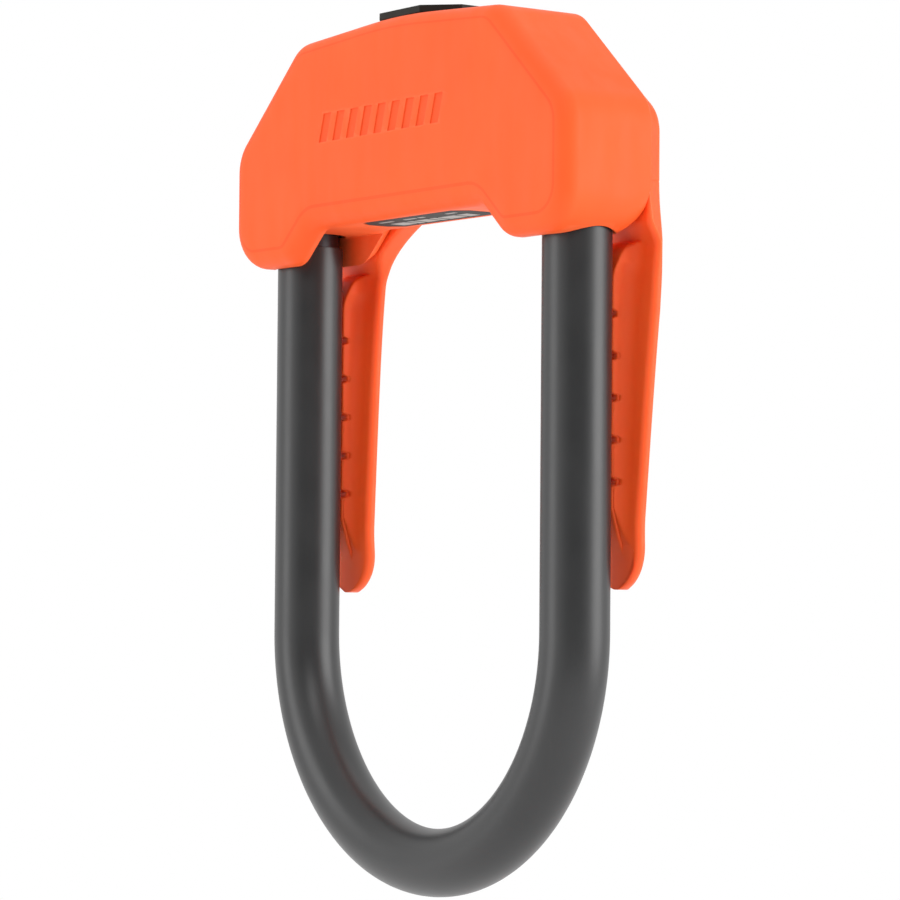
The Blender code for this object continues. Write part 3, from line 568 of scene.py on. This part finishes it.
def plate_ring(grow):
    """Eight-sided outline of the underside plate, grown for its pocket."""
    half_x = 17 * MM + grow
    y0 = -7.2 * MM - grow
    y1 = 2.6 * MM + grow
    cut = 2.6 * MM
    return [(-half_x, y0 + cut), (-half_x + cut, y0), (half_x - cut, y0), (half_x, y0 + cut),
            (half_x, y1 - cut), (half_x - cut, y1), (-half_x + cut, y1), (-half_x, y1 - cut)]


def plate_bm(grow, low, high):
    return loft([[(x, y, z) for x, y in plate_ring(grow)] for z in (low, high)])


MARK_X = (-23.5 * MM, 18.5 * MM)
MARK_Z = (16.2 * MM, 21.8 * MM)
MARK_DEPTH = 0.25 * MM
MARK_COUNT = 9
MARK_SLANT = 1.6 * MM
MARK_RIM = 0.45 * MM           # extra cell rows this far above and below the ends of the bars


def mark_cutters():
    """A generic row of slanted bars pressed into the front."""
    pitch = (MARK_X[1] - MARK_X[0]) / MARK_COUNT
    width = pitch * 0.56
    depths = (CASE_FRONT_Y - MM, CASE_FRONT_Y + MARK_DEPTH)
    low, high = MARK_Z
    cutters = []
    for k in range(MARK_COUNT):
        x = MARK_X[0] + pitch * k
        ring = [(x, low), (x + width, low), (x + width + MARK_SLANT, high), (x + MARK_SLANT, high)]
        cutters.append(("DIFFERENCE", loft([[(px, y, pz) for px, pz in ring] for y in depths])))
    return cutters


def split_flat_front(shell):
    """Cut the flat front into small cells, so shading near its edges and bars stays there."""
    bm = bmesh.new()
    bm.from_mesh(shell.data)
    cuts = [(Vector((x * CELL, 0, 0)), Vector((1, 0, 0))) for x in range(-20, 21)]
    cuts += [(Vector((0, 0, z * CELL)), Vector((0, 0, 1))) for z in range(-3, 16)]
    cuts += [(Vector((0, 0, z + side)), Vector((0, 0, 1))) for z in MARK_Z for side in (-MARK_RIM, MARK_RIM)]
    for point, normal in cuts:
        flat = [f for f in bm.faces if f.normal.y < -0.9999]
        flat = [f for f in flat if abs(f.calc_center_median().y - CASE_FRONT_Y) < 0.01 * MM]
        edges = {e for f in flat for e in f.edges}
        verts = {v for f in flat for v in f.verts}
        bmesh.ops.bisect_plane(bm, geom=flat + list(edges) + list(verts), dist=0.001 * MM,
                               plane_co=point, plane_no=normal)
    bm.to_mesh(shell.data)
    bm.free()


def casing_shell():
    """Front casing: hollow shell with screw posts, leg holes, lock neck hole and plate pocket."""
    shell = new_object("casing_shell", loft(case_rings()), [ORANGE, ORANGE_RECESS_SHADE])
    tools = [("DIFFERENCE", cavity_bm())]
    for x, z in POSTS:
        post = cylinder(POST_R, CASE_FRONT_Y + 1.2 * MM, CASE_BACK_Y - 0.3 * MM, sides=32)
        bore = cylinder(POST_BORE_R, -4 * MM, CASE_BACK_Y + MM, sides=24)
        tools.append(("UNION", lay_along_y(post, x, z)))
        tools.append(("DIFFERENCE", lay_along_y(bore, x, z)))
    for sign in (-1, 1):
        x = sign * LEG_X
        tools.append(("DIFFERENCE", cylinder(LEG_HOLE_R, -12 * MM, FLOOR + 2 * MM, (x, 0.0), 72)))
        inner = sorted((x, sign * (RECESS_X - 2 * MM)))
        relief = box((inner[0], -LEG_HOLE_R, -12 * MM), (inner[1], LEG_HOLE_R, 0.05 * MM))
        tools.append(("DIFFERENCE", relief))
    tools.append(("DIFFERENCE", cylinder(NECK_R + 0.3 * MM, 30 * MM, 45 * MM, (LOCK_X, 0.0), 64)))
    tools.append(("DIFFERENCE", plate_bm(0.3 * MM, -MM, 1.2 * MM)))
    combine(shell, tools + mark_cutters())
    soften(shell, 0.28 * MM, 2, 42.0)
    split_flat_front(shell)
    # Painted shade: the floors of the pressed-in bars take the darker orange material.
    floor_y = CASE_FRONT_Y + MARK_DEPTH
    for face in shell.data.polygons:
        centre = face.center
        if abs(centre.y - floor_y) < 0.08 * MM and abs(face.normal.y) > 0.9:
            face.material_index = 1
    return place(shell, "crossbar", ["front_casing"], weighted=False)


# ---------------------------------------------------------------- rear cover and clips

def cover_shell():
    """Lid with a soft back edge, flared over the casing's rim, and a shallow sunk panel."""
    corners = mirrored([
        (0.0, TOP_Z - 4.5 * MM, 160 * MM),
        (COVER_CORNER_X, TOP_CORNER[1] - 4.4 * MM, 6.5 * MM),
        (COVER_HALF_WIDTH, SIDE_CORNER_Z - 0.3 * MM, 7.5 * MM),
        (COVER_HALF_WIDTH, COVER_BOTTOM_Z, 0.05 * MM),
    ])
    count = len(corners)
    rings = []
    edge_width, edge_depth = COVER_SOFT_EDGE
    for depth, share in FLARE_PROFILE + [(COVER_BACK_Y - edge_depth - COVER_FRONT_Y, 0.0)]:
        insets = [-share * COVER_FLARE] * count
        insets[3] = 0.0
        outline = fillet_outline(offset_corners(corners, insets), 9)
        rings.append([(x, COVER_FRONT_Y + depth, z) for x, z in outline])
    for k in range(1, 9):
        a = math.radians(90 * k / 8)
        insets = [edge_width * (1 - math.cos(a))] * count
        insets[3] = 0.0
        outline = fillet_outline(offset_corners(corners, insets), 9)
        rings.append([(x, COVER_BACK_Y - edge_depth * (1 - math.sin(a)), z) for x, z in outline])
    cover = new_object("cover_shell", loft(rings), [ORANGE_CLIP])
    hollow = box((-32 * MM, COVER_FRONT_Y - MM, 6.5 * MM), (32 * MM, COVER_FRONT_Y + 2.2 * MM, 24.5 * MM))
    panel = mirrored([(0.0, 25.5 * MM, 60 * MM), (27 * MM, 24.8 * MM, 3 * MM), (30 * MM, 9 * MM, 3 * MM)])
    sunk = loft([[(x, y, z) for x, z in fillet_outline(panel, 8)]
                 for y in (COVER_BACK_Y - 0.45 * MM, COVER_BACK_Y + MM)])
    tools = [("DIFFERENCE", hollow), ("DIFFERENCE", sunk)]
    for x, z in POSTS:
        bore = turned([(0.0, COVER_FRONT_Y - MM), (1.6 * MM, COVER_FRONT_Y - MM),
                       (1.6 * MM, COVER_BACK_Y - 2.6 * MM), (3.0 * MM, COVER_BACK_Y - 2.6 * MM),
                       (3.0 * MM, COVER_BACK_Y + MM), (0.0, COVER_BACK_Y + MM)], sides=40)
        tools.append(("DIFFERENCE", lay_along_y(bore, x, z)))
    combine(cover, tools)
    return place(cover, "crossbar", ["rear_cover"])


def clip_back(z):
    """Y of the arm's back face: leans to the leg, then turns away again at the tip."""
    drop = max(CLIP_BEND_Z - z, 0.0)
    lean = CLIP_LEAN * drop + 0.9 * MM * (1 - math.exp(-drop / (12 * MM)))
    flare = 0.75 * MM * smoothstep((-58 * MM - z) / (11 * MM))
    return COVER_BACK_Y - 0.1 * MM * smoothstep((CLIP_BEND_Z - z) / (10 * MM) + 1) - lean + flare


def clip_taper(z):
    """How far the outer edge stands out from the even width: widest below the root, narrow at the tip."""
    wide = 1.3 * MM * smoothstep((1 * MM - z) / (17 * MM))
    return wide - 2.5 * MM * max((-20 * MM - z) / (46 * MM), 0.0)


def rib_height(z, flange_front):
    """How far the rib stands above the flange at this level."""
    top = CLIP_BEND_Z - 0.2 * MM
    if z >= top:
        return 0.0
    full = flange_front - RIB_FRONT_Y
    nose = 7.0 * MM
    rise = 1.0
    if z > top - nose:
        t = (top - z) / nose
        rise = math.sqrt(max(1 - (1 - t) ** 2, 0.0))
    foot = (-56.5 * MM, -64.6 * MM)
    if z < foot[0]:
        rise = max(0.0, (z - foot[1]) / (foot[0] - foot[1]))
    return full * rise


def notch_depth(z):
    """Grip notches across the rib's crown."""
    deep = 0.0
    for k in range(NOTCH_COUNT):
        away = abs(z - (NOTCH_TOP_Z - k * NOTCH_PITCH))
        deep = max(deep, 1 - smoothstep((away - 0.4 * MM) / (0.6 * MM)))
    return 1.2 * MM * deep


# Distances in mm from the rib's middle at which its section is taken, closest at its wall
RIB_SAMPLES = [0.0, 0.6, 1.1, 1.4, 1.6, 1.7, 1.8, 1.88, 1.95, 2.0, 2.03, 2.08, 2.16, 2.28, 2.45,
               2.7, 3.0, 3.4, 3.9, 4.5, 5.2]
RIB_REACH = RIB_SAMPLES[-1] * MM + 0.2 * MM


def rib_profile(d, height, cut):
    """Height above the flange at distance d from the rib's middle: soft crown, wall, wide fillet."""
    crown = 0.4 * MM
    fillet = 3.1 * MM
    if d <= RIB_HALF:
        drop = 0.0
        if d > RIB_HALF - crown:
            over = d - (RIB_HALF - crown)
            drop = crown - math.sqrt(max(crown ** 2 - over ** 2, 0.0))
        return max(height - drop - cut, 0.0)
    s = d - RIB_HALF
    curve = fillet - math.sqrt(max(fillet ** 2 - (fillet - min(s, fillet)) ** 2, 0.0))
    return max(min(height - crown - cut, curve), 0.0)


def clip_ring(z, sign):
    """Section of a clip's arm; it spreads into a gusset at its root and carries the rib in front."""
    half = CLIP_HALF_WIDTH
    taper = clip_taper(z)
    above_tip = z - CLIP_TIP_Z
    if above_tip < CLIP_TIP_R:
        share = math.sqrt(max(1 - (1 - above_tip / CLIP_TIP_R) ** 2, 0.004))
        half *= share
        taper *= share
    root = smoothstep((z + 6 * MM) / (9.8 * MM))
    tuck = 0.04 * MM if z > COVER_BOTTOM_Z else 0.0
    spread = min(max((z + 10 * MM) / (13.8 * MM), 0.0), 1.0)
    inner = half + 16 * MM * spread ** 2
    outer = half + taper - 0.2 * MM * root - tuck
    back = clip_back(z) - tuck
    ease = smoothstep((z + 8.5 * MM) / (5.5 * MM))
    thick = CLIP_THICK + (COVER_BACK_Y - COVER_FRONT_Y - CLIP_THICK) * ease - 2 * tuck
    front = back - thick
    r = min(1.15 * MM, 0.45 * half)
    back_r = min(r + (1.75 * MM - 1.15 * MM) * root, 0.45 * half + root * MM)
    height = rib_height(z, front)
    cut = notch_depth(z) if height > 2 * MM else 0.0
    ring = []
    for cx, cy, start, rad in ((outer - back_r, back - back_r, 0, back_r), (-inner + r, back - r, 90, r)):
        for k in range(7):
            a = math.radians(start + 15 * k)
            ring.append((cx + rad * math.cos(a), cy + rad * math.sin(a)))
    for k in range(7):
        a = math.radians(180 + 15 * k)
        ring.append((-inner + r + r * math.cos(a), front + r + r * math.sin(a)))
    widen = 1.9 * MM * (1 - smoothstep((CLIP_BEND_Z - 0.2 * MM - z) / (7.5 * MM)))
    widen = min(widen, max(half - r - RIB_REACH, 0.0))
    shrink = min(1.0, (half - r) / RIB_REACH)
    right = []
    for d in RIB_SAMPLES:
        d *= MM
        at = d * (1 + widen / RIB_HALF) if d <= RIB_HALF else d + widen
        right.append((at * shrink, front - rib_profile(d, height, cut)))
    ring += [(-x, y) for x, y in reversed(right)] + right[1:]
    front_r = r + (0.1 * MM - r) * root
    flare = COVER_FLARE * (1 - smoothstep((1 * MM - z) / (17 * MM)))
    for k in range(7):
        a = math.radians(270 + 15 * k)
        ring.append((outer + flare - front_r + front_r * math.cos(a), front + front_r + front_r * math.sin(a)))
    full = COVER_BACK_Y - COVER_FRONT_Y
    room = (thick - front_r - back_r) / (full - 0.1 * MM - 1.75 * MM)
    for depth, share in FLARE_PROFILE[1:]:
        ring.append((outer + flare * share, front + front_r + depth * min(room, 1.0)))
    return [(sign * (LEG_X + x), y, z) for x, y in ring]


def clip_levels():
    """Heights of the arm's sections, closer together where the shape changes."""
    levels = [COVER_BOTTOM_Z + 0.6 * MM, COVER_BOTTOM_Z + 0.03 * MM]
    z = COVER_BOTTOM_Z - 0.02 * MM
    while z > CLIP_BEND_Z - 9 * MM:
        levels.append(z)
        z -= 0.45 * MM
    stop = NOTCH_TOP_Z - (NOTCH_COUNT - 1) * NOTCH_PITCH - 3 * MM
    while z > stop:
        levels.append(z)
        near = min(abs(z - (NOTCH_TOP_Z - k * NOTCH_PITCH)) for k in range(NOTCH_COUNT))
        z -= 0.22 * MM if near < 1.6 * MM else 0.8 * MM
    while z > CLIP_TIP_Z + CLIP_TIP_R:
        levels.append(z)
        z -= 0.45 * MM
    steps = 20
    for k in range(steps):
        a = math.radians(90 * k / steps)
        levels.append(CLIP_TIP_Z + CLIP_TIP_R * (1 - math.sin(a)))
    levels.append(CLIP_TIP_Z + 0.03 * MM)
    return levels


def belt_clip(side, sign):
    clip = new_object(f"clip_arm_{side}", loft([clip_ring(z, sign) for z in clip_levels()]), [ORANGE_CLIP])
    clip.data.shade_smooth()
    clip.data.set_sharp_from_angle(angle=math.radians(50))
    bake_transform(clip)
    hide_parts(f"belt_clip_{side}")


def rear_screws():
    """Four domed screws with crossed slots, each turned to its own angle."""
    head = COVER_BACK_Y - 2.3 * MM
    for i, (x, z) in enumerate(POSTS):
        profile = [(0.0, -MM), (0.6 * MM, -MM), (1.0 * MM, 0.0), (1.0 * MM, head), (2.6 * MM, head),
                   (2.6 * MM, head + 1.0 * MM), (2.45 * MM, head + 1.25 * MM), (2.1 * MM, head + 1.5 * MM),
                   (1.5 * MM, head + 1.68 * MM), (0.7 * MM, head + 1.75 * MM), (0.0, head + 1.77 * MM)]
        body = lay_along_y(turned(profile, sides=40), x, z)
        screw = new_object(f"screw_{i + 1}", body, [METALS["plated_steel"]])
        turn = math.radians(20 + 37 * i)
        tools = []
        for k in range(2):
            slot = box((-1.5 * MM, -0.26 * MM, head + 0.7 * MM), (1.5 * MM, 0.26 * MM, head + 3 * MM))
            slot.transform(Matrix.Rotation(turn + k * math.pi / 2, 4, "Z"))
            tools.append(("DIFFERENCE", lay_along_y(slot, x, z)))
        combine(screw, tools)
        place(screw, "crossbar", [f"rear_screw_{i + 1}"], 35)


# ---------------------------------------------------------------- shackle

def shackle_path(top):
    """Centres along the U with the outward direction at each: leg, round bend, leg."""
    path = [(Vector((-LEG_X, 0, top)), Vector((-1, 0, 0)))]
    straight = 24
    for k in range(1, straight):
        path.append((Vector((-LEG_X, 0, top + (BEND_Z - top) * k / straight)), Vector((-1, 0, 0))))
    bend = 120
    for k in range(bend + 1):
        a = math.pi * k / bend
        out = Vector((-math.cos(a), 0, -math.sin(a)))
        path.append((Vector((0, 0, BEND_Z)) + out * LEG_X, out))
    for k in range(straight - 1, -1, -1):
        path.append((Vector((LEG_X, 0, top + (BEND_Z - top) * k / straight)), Vector((1, 0, 0))))
    return path


def tube_ring(centre, out, radius, sides):
    turn = [2 * math.pi * k / sides for k in range(sides)]
    return [tuple(centre + out * (radius * math.cos(a)) + Vector((0, radius * math.sin(a), 0))) for a in turn]


def shackle_sleeve():
    """Tough sleeve with softly rounded mouths; its UV map runs round and along the tube."""
    sides = 80
    path = shackle_path(SLEEVE_TOP_Z)
    lip = 0.2 * MM
    rings = []
    lengths = []
    run = 0.0
    for i, (centre, out) in enumerate(path):
        if i:
            run += (centre - path[i - 1][0]).length
        rings.append(tube_ring(centre, out, SLEEVE_R, sides))
        lengths.append(run)
    down = Vector((0, 0, -1))
    for index in (0, len(path) - 1):
        centre, out = path[index]
        shoulder = tube_ring(centre + down * lip * 0.3, out, SLEEVE_R - 0.02 * MM, sides)
        mouth = tube_ring(centre, out, SLEEVE_R - lip, sides)
        base = tube_ring(centre + down * lip, out, SLEEVE_R, sides)
        inner = tube_ring(centre, out, SLEEVE_BORE_R, sides)
        deep = tube_ring(centre + down * 6 * MM, out, SLEEVE_BORE_R, sides)
        if index == 0:
            rings = [deep, inner, mouth, shoulder, base] + rings[1:]
            lengths = [0.0] * 4 + lengths
        else:
            rings = rings[:-1] + [base, shoulder, mouth, inner, deep]
            lengths = lengths[:-1] + [lengths[-1]] * 5
    inside = [tube_ring(c, o, SLEEVE_BORE_R, sides) for c, o in path[2:-2]]
    rings = rings + inside[::-1]
    lengths = lengths + [lengths[-1]] * len(inside)
    bm = loft(rings, closed_path=True)
    layer = bm.loops.layers.uv.new("along")
    bm.verts.ensure_lookup_table()
    around = 2 * math.pi * SLEEVE_R / sides
    for face in bm.faces:
        slots = [divmod(loop.vert.index, sides) for loop in face.loops]
        wraps = {column for _, column in slots} == {0, sides - 1}
        for loop, (row, column) in zip(face.loops, slots):
            if wraps and column == 0:
                column = sides
            loop[layer].uv = (column * around, lengths[row])
    sleeve = new_object("sleeve_tube", bm, [SLEEVE])
    return place(sleeve, "shackle", ["shackle_sleeve"])


def shackle_bar():
    """Steel bar with rounded ends and a notch for a deadbolt near each."""
    sides = 64
    path = shackle_path(BAR_TOP_Z - BAR_TIP)
    rings = [tube_ring(c, o, BAR_R, sides) for c, o in path]
    for index in (0, len(path) - 1):
        centre, out = path[index]
        tips = []
        for k in range(1, 6):
            a = math.radians(18 * k)
            narrowed = BAR_R * (1 - 0.22 * (1 - math.cos(a)))
            tips.append(tube_ring(centre + Vector((0, 0, BAR_TIP * math.sin(a))), out, narrowed, sides))
        rings = tips[::-1] + rings if index == 0 else rings + tips
    bar = new_object("shackle_rod", loft(rings), [METALS["hardened_steel"]])
    tools = []
    for sign in (-1, 1):
        xs = sorted((sign * (LEG_X - BAR_R - MM), sign * (LEG_X - BAR_R + NOTCH_DEPTH)))
        tools.append(("DIFFERENCE", box((xs[0], -8 * MM, NOTCH_Z[0]), (xs[1], 8 * MM, NOTCH_Z[1]))))
    combine(bar, tools)
    soften(bar, 0.25 * MM, 2, 40.0)
    return place(bar, "shackle", ["shackle_bar"])


def leg_bushes():
    """Soft-edged rings where the legs enter the casing."""
    for side, sign in (("left", -1), ("right", 1)):
        low, high = 0.2 * MM, 2.0 * MM
        inner, outer = BAR_R + 0.35 * MM, LEG_HOLE_R - 0.3 * MM
        soft = 0.2 * MM
        ring = [(inner, low + soft), (inner + soft, low), (outer - soft, low), (outer, low + soft),
                (outer, high), (inner, high)]
        bush = new_object(f"bush_{side}", turned(ring, (sign * LEG_X, 0.0), 64), [BLACK])
        place(bush, "crossbar", [f"leg_bush_{side}"], 30)


# ---------------------------------------------------------------- plate and keyhole surround

def underside_plate():
    """Plate in the underside with plain pale bars."""
    plate = new_object("plate_body", plate_bm(0.0, 0.0, 0.9 * MM), [PLATE])
    soften(plate, 0.15 * MM, 2)
    place(plate, "crossbar", ["underside_plate"])
    bars = [(-12.5, -8.2), (-7.2, -5.4), (-4.4, -0.6), (0.4, 2.2), (3.2, 8.4), (9.4, 12.6)]
    bm = bmesh.new()
    for row, (y0, y1, skip) in enumerate(((-2.3, 0.9, 0), (-5.2, -4.4, 1))):
        for k, (x0, x1) in enumerate(bars):
            if (k + row) % 3 == 2 and skip:
                continue
            part = box((x0 * MM, y0 * MM, -0.05 * MM), (x1 * MM, y1 * MM, 0.05 * MM))
            mesh = bpy.data.meshes.new("bar")
            part.to_mesh(mesh)
            part.free()
            bm.from_mesh(mesh)
            bpy.data.meshes.remove(mesh)
    marks = new_object("plate_marks", bm, [PALE])
    soften(marks, 0.02 * MM, 1)
    place(marks, "crossbar")


def keyhole_bezel():
    """Eight-sided surround on its neck, with the dust cover's track and window."""
    half_x, half_y = BEZEL_HALF
    cut = BEZEL_CHAMFER
    ring = [(half_x, half_y - cut), (half_x - cut, half_y), (cut - half_x, half_y), (-half_x, half_y - cut),
            (-half_x, cut - half_y), (cut - half_x, -half_y), (half_x - cut, -half_y), (half_x, cut - half_y)]
    bezel = new_object("surround", loft([[(BEZEL_X + x, y, z) for x, y in ring] for z in BEZEL_Z]), [BLACK])
    low_x = LOCK_X - SHUTTER_HALF_X - 0.3 * MM
    high_x = LOCK_X + SHUTTER_HALF_X + SHUTTER_TRAVEL + 0.3 * MM
    low, high = TRACK_Z
    middle = (low + high) / 2
    combine(bezel, [
        ("UNION", cylinder(NECK_R, 35.9 * MM, BEZEL_Z[0] + 0.1 * MM, (LOCK_X, 0.0), 64)),
        ("DIFFERENCE", box((low_x, -TRACK_HALF_Y, low), (high_x, TRACK_HALF_Y, high))),
        ("DIFFERENCE", box((low_x, -WINDOW_HALF_Y, middle), (high_x, WINDOW_HALF_Y, 42 * MM))),
        ("DIFFERENCE", cylinder(4.6 * MM, 34 * MM, middle, (LOCK_X, 0.0), 64)),
    ])
    soften(bezel, 0.15 * MM, 3)
    return place(bezel, "crossbar", ["keyhole_bezel"])


def dust_cover():
    """Slider with three ridges for the thumb."""
    half = SHUTTER_HALF_X
    low, high = SHUTTER_Z
    slab = box((LOCK_X - half, -SHUTTER_HALF_Y, low), (LOCK_X + half, SHUTTER_HALF_Y, high))
    cover = new_object("shutter_slider", slab, [BLACK])
    top = box((LOCK_X - half, -SHUTTER_TOP_HALF_Y, (low + high) / 2),
              (LOCK_X + half, SHUTTER_TOP_HALF_Y, SHUTTER_TOP_Z))
    tools = [("UNION", top)]
    for k in range(3):
        x = LOCK_X + (k - 1) * 1.8 * MM
        tools.append(("UNION", box((x - 0.4 * MM, -2.6 * MM, SHUTTER_TOP_Z - 0.2 * MM),
                                   (x + 0.4 * MM, 2.6 * MM, RIDGE_TOP_Z))))
    combine(cover, tools)
    soften(cover, 0.1 * MM, 3)
    return place(cover, "shutter", ["dust_cover"])


# ---------------------------------------------------------------- studio

def cad_materials():
    """The hidden mechanism keeps its CAD meshes with better materials."""
    slots = {s["node"]: s["material_slot"] for s in frame["record"]["subparts"]}
    for name, obj in NODES.items():
        mat = SLOT_MATERIALS[slots[name]]
        obj.data.materials.clear()
        obj.data.materials.append(mat)


def softbox(name, azimuth, elevation, distance, size, power, target=(0.0, 0.0, -0.045)):
    """Rectangular area light aimed at the lock."""
    a, e = math.radians(azimuth), math.radians(elevation)
    away = Vector((math.cos(a) * math.cos(e), math.sin(a) * math.cos(e), math.sin(e)))
    light = bpy.data.lights.new(name, "AREA")
    light.shape = "RECTANGLE"
    light.size, light.size_y = size
    light.energy = power
    obj = bpy.data.objects.new(name, light)
    obj.location = Vector(target) + away * distance
    obj.rotation_euler = (-away).to_track_quat("-Z", "Y").to_euler()
    bpy.context.scene.collection.objects.link(obj)
    return obj


DARK_SIDE = (0.81, -0.585, -0.03)
ROOM_BRIGHT = 0.98
ROOM_DARK = 0.22


def backdrop():
    """White surroundings in view; the object is lit by an even room with one darker side."""
    world = bpy.data.worlds.new("studio")
    bpy.context.scene.world = world
    world.use_nodes = True
    tree = world.node_tree
    tree.nodes.clear()
    out = tree.nodes.new("ShaderNodeOutputWorld")
    mix = tree.nodes.new("ShaderNodeMixShader")
    path = tree.nodes.new("ShaderNodeLightPath")
    dim = tree.nodes.new("ShaderNodeBackground")
    white = tree.nodes.new("ShaderNodeBackground")
    dim.inputs["Color"].default_value = (1.0, 1.0, 1.0, 1.0)
    coords = tree.nodes.new("ShaderNodeTexCoord")
    facing = tree.nodes.new("ShaderNodeVectorMath")
    facing.operation = "DOT_PRODUCT"
    facing.inputs[1].default_value = DARK_SIDE
    ramp = tree.nodes.new("ShaderNodeMapRange")
    ramp.interpolation_type = "SMOOTHSTEP"
    ramp.inputs["From Min"].default_value = 0.62
    ramp.inputs["From Max"].default_value = 0.97
    ramp.inputs["To Min"].default_value = ROOM_BRIGHT
    ramp.inputs["To Max"].default_value = ROOM_DARK
    tree.links.new(coords.outputs["Generated"], facing.inputs[0])
    tree.links.new(facing.outputs["Value"], ramp.inputs["Value"])
    tree.links.new(ramp.outputs["Result"], dim.inputs["Strength"])
    white.inputs["Strength"].default_value = 1.0
    white.inputs["Color"].default_value = (1.0, 1.0, 1.0, 1.0)
    tree.links.new(path.outputs["Is Camera Ray"], mix.inputs[0])
    tree.links.new(dim.outputs[0], mix.inputs[1])
    tree.links.new(white.outputs[0], mix.inputs[2])
    tree.links.new(mix.outputs[0], out.inputs["Surface"])


FLOOR_R = 0.62
FLOOR_THICK = 2 * MM


def floor():
    """Plain pale disc, low enough for the shackle to slide all the way out above it."""
    top = CAD_BOX_LOW_Z - SHACKLE_TRAVEL - 2 * MM
    bm = cylinder(FLOOR_R, top - FLOOR_THICK, top, sides=96)
    mat, coords = new_material("pale_floor")
    cloud = noise(mat, coords, 6.0, 3.0)
    color = mixed(mat, mapped(mat, cloud, 0.0, 1.0), (0.9, 0.9, 0.9), (0.93, 0.93, 0.93))
    finish_material(mat, color, mapped(mat, cloud, 0.6, 0.7), [(noise(mat, coords, 900.0), 0.02, 0.0002)])
    shader = mat.node_tree.nodes["Principled BSDF"]
    shader.inputs["Emission Color"].default_value = (1.0, 1.0, 1.0, 1.0)
    shader.inputs["Emission Strength"].default_value = 0.15
    plane = new_object("floor", bm, [mat])


CAMERA_AT = (0.623985, -0.446635, -0.081456)
CAMERA_AZIMUTH = 54.2048
CAMERA_PITCH = 2.7643
CAMERA_ROLL = -0.4542
CAMERA_LENS = 160.0


def camera():
    """Long lens seen from the front right, a little below the casing."""
    azimuth = math.radians(CAMERA_AZIMUTH)
    pitch = math.radians(CAMERA_PITCH)
    roll = math.radians(CAMERA_ROLL)
    level = math.cos(pitch)
    ahead = Vector((-math.sin(azimuth) * level, math.cos(azimuth) * level, math.sin(pitch)))
    right = Vector((math.cos(azimuth), math.sin(azimuth), 0.0))
    up = right.cross(ahead)
    x = math.cos(roll) * right - math.sin(roll) * up
    y = math.sin(roll) * right + math.cos(roll) * up
    data = bpy.data.cameras.new("camera")
    data.lens = CAMERA_LENS
    data.sensor_width = 36.0
    data.clip_start = 0.05
    data.clip_end = 20.0
    obj = bpy.data.objects.new("camera", data)
    turn = Matrix((x, y, -ahead)).transposed().to_4x4()
    obj.matrix_world = Matrix.Translation(CAMERA_AT) @ turn
    bpy.context.scene.collection.objects.link(obj)
    bpy.context.scene.camera = obj


cad_materials()
casing_shell()
cover_shell()
belt_clip("left", -1)
belt_clip("right", 1)
rear_screws()
shackle_sleeve()
shackle_bar()
leg_bushes()
underside_plate()
keyhole_bezel()
dust_cover()

camera()
backdrop()
floor()
softbox("key_right", 38.0, 8.0, 1.3, (0.8, 0.9), 8.0)
softbox("fill_left", -116.0, 8.0, 1.3, (0.55, 0.9), 3.3)
softbox("above", -36.0, 30.0, 1.3, (0.6, 0.2), 2.0)
softbox("top", 60.0, 80.0, 1.2, (0.9, 0.9), 1.2)
bpy.context.scene.view_settings.view_transform = "Standard"
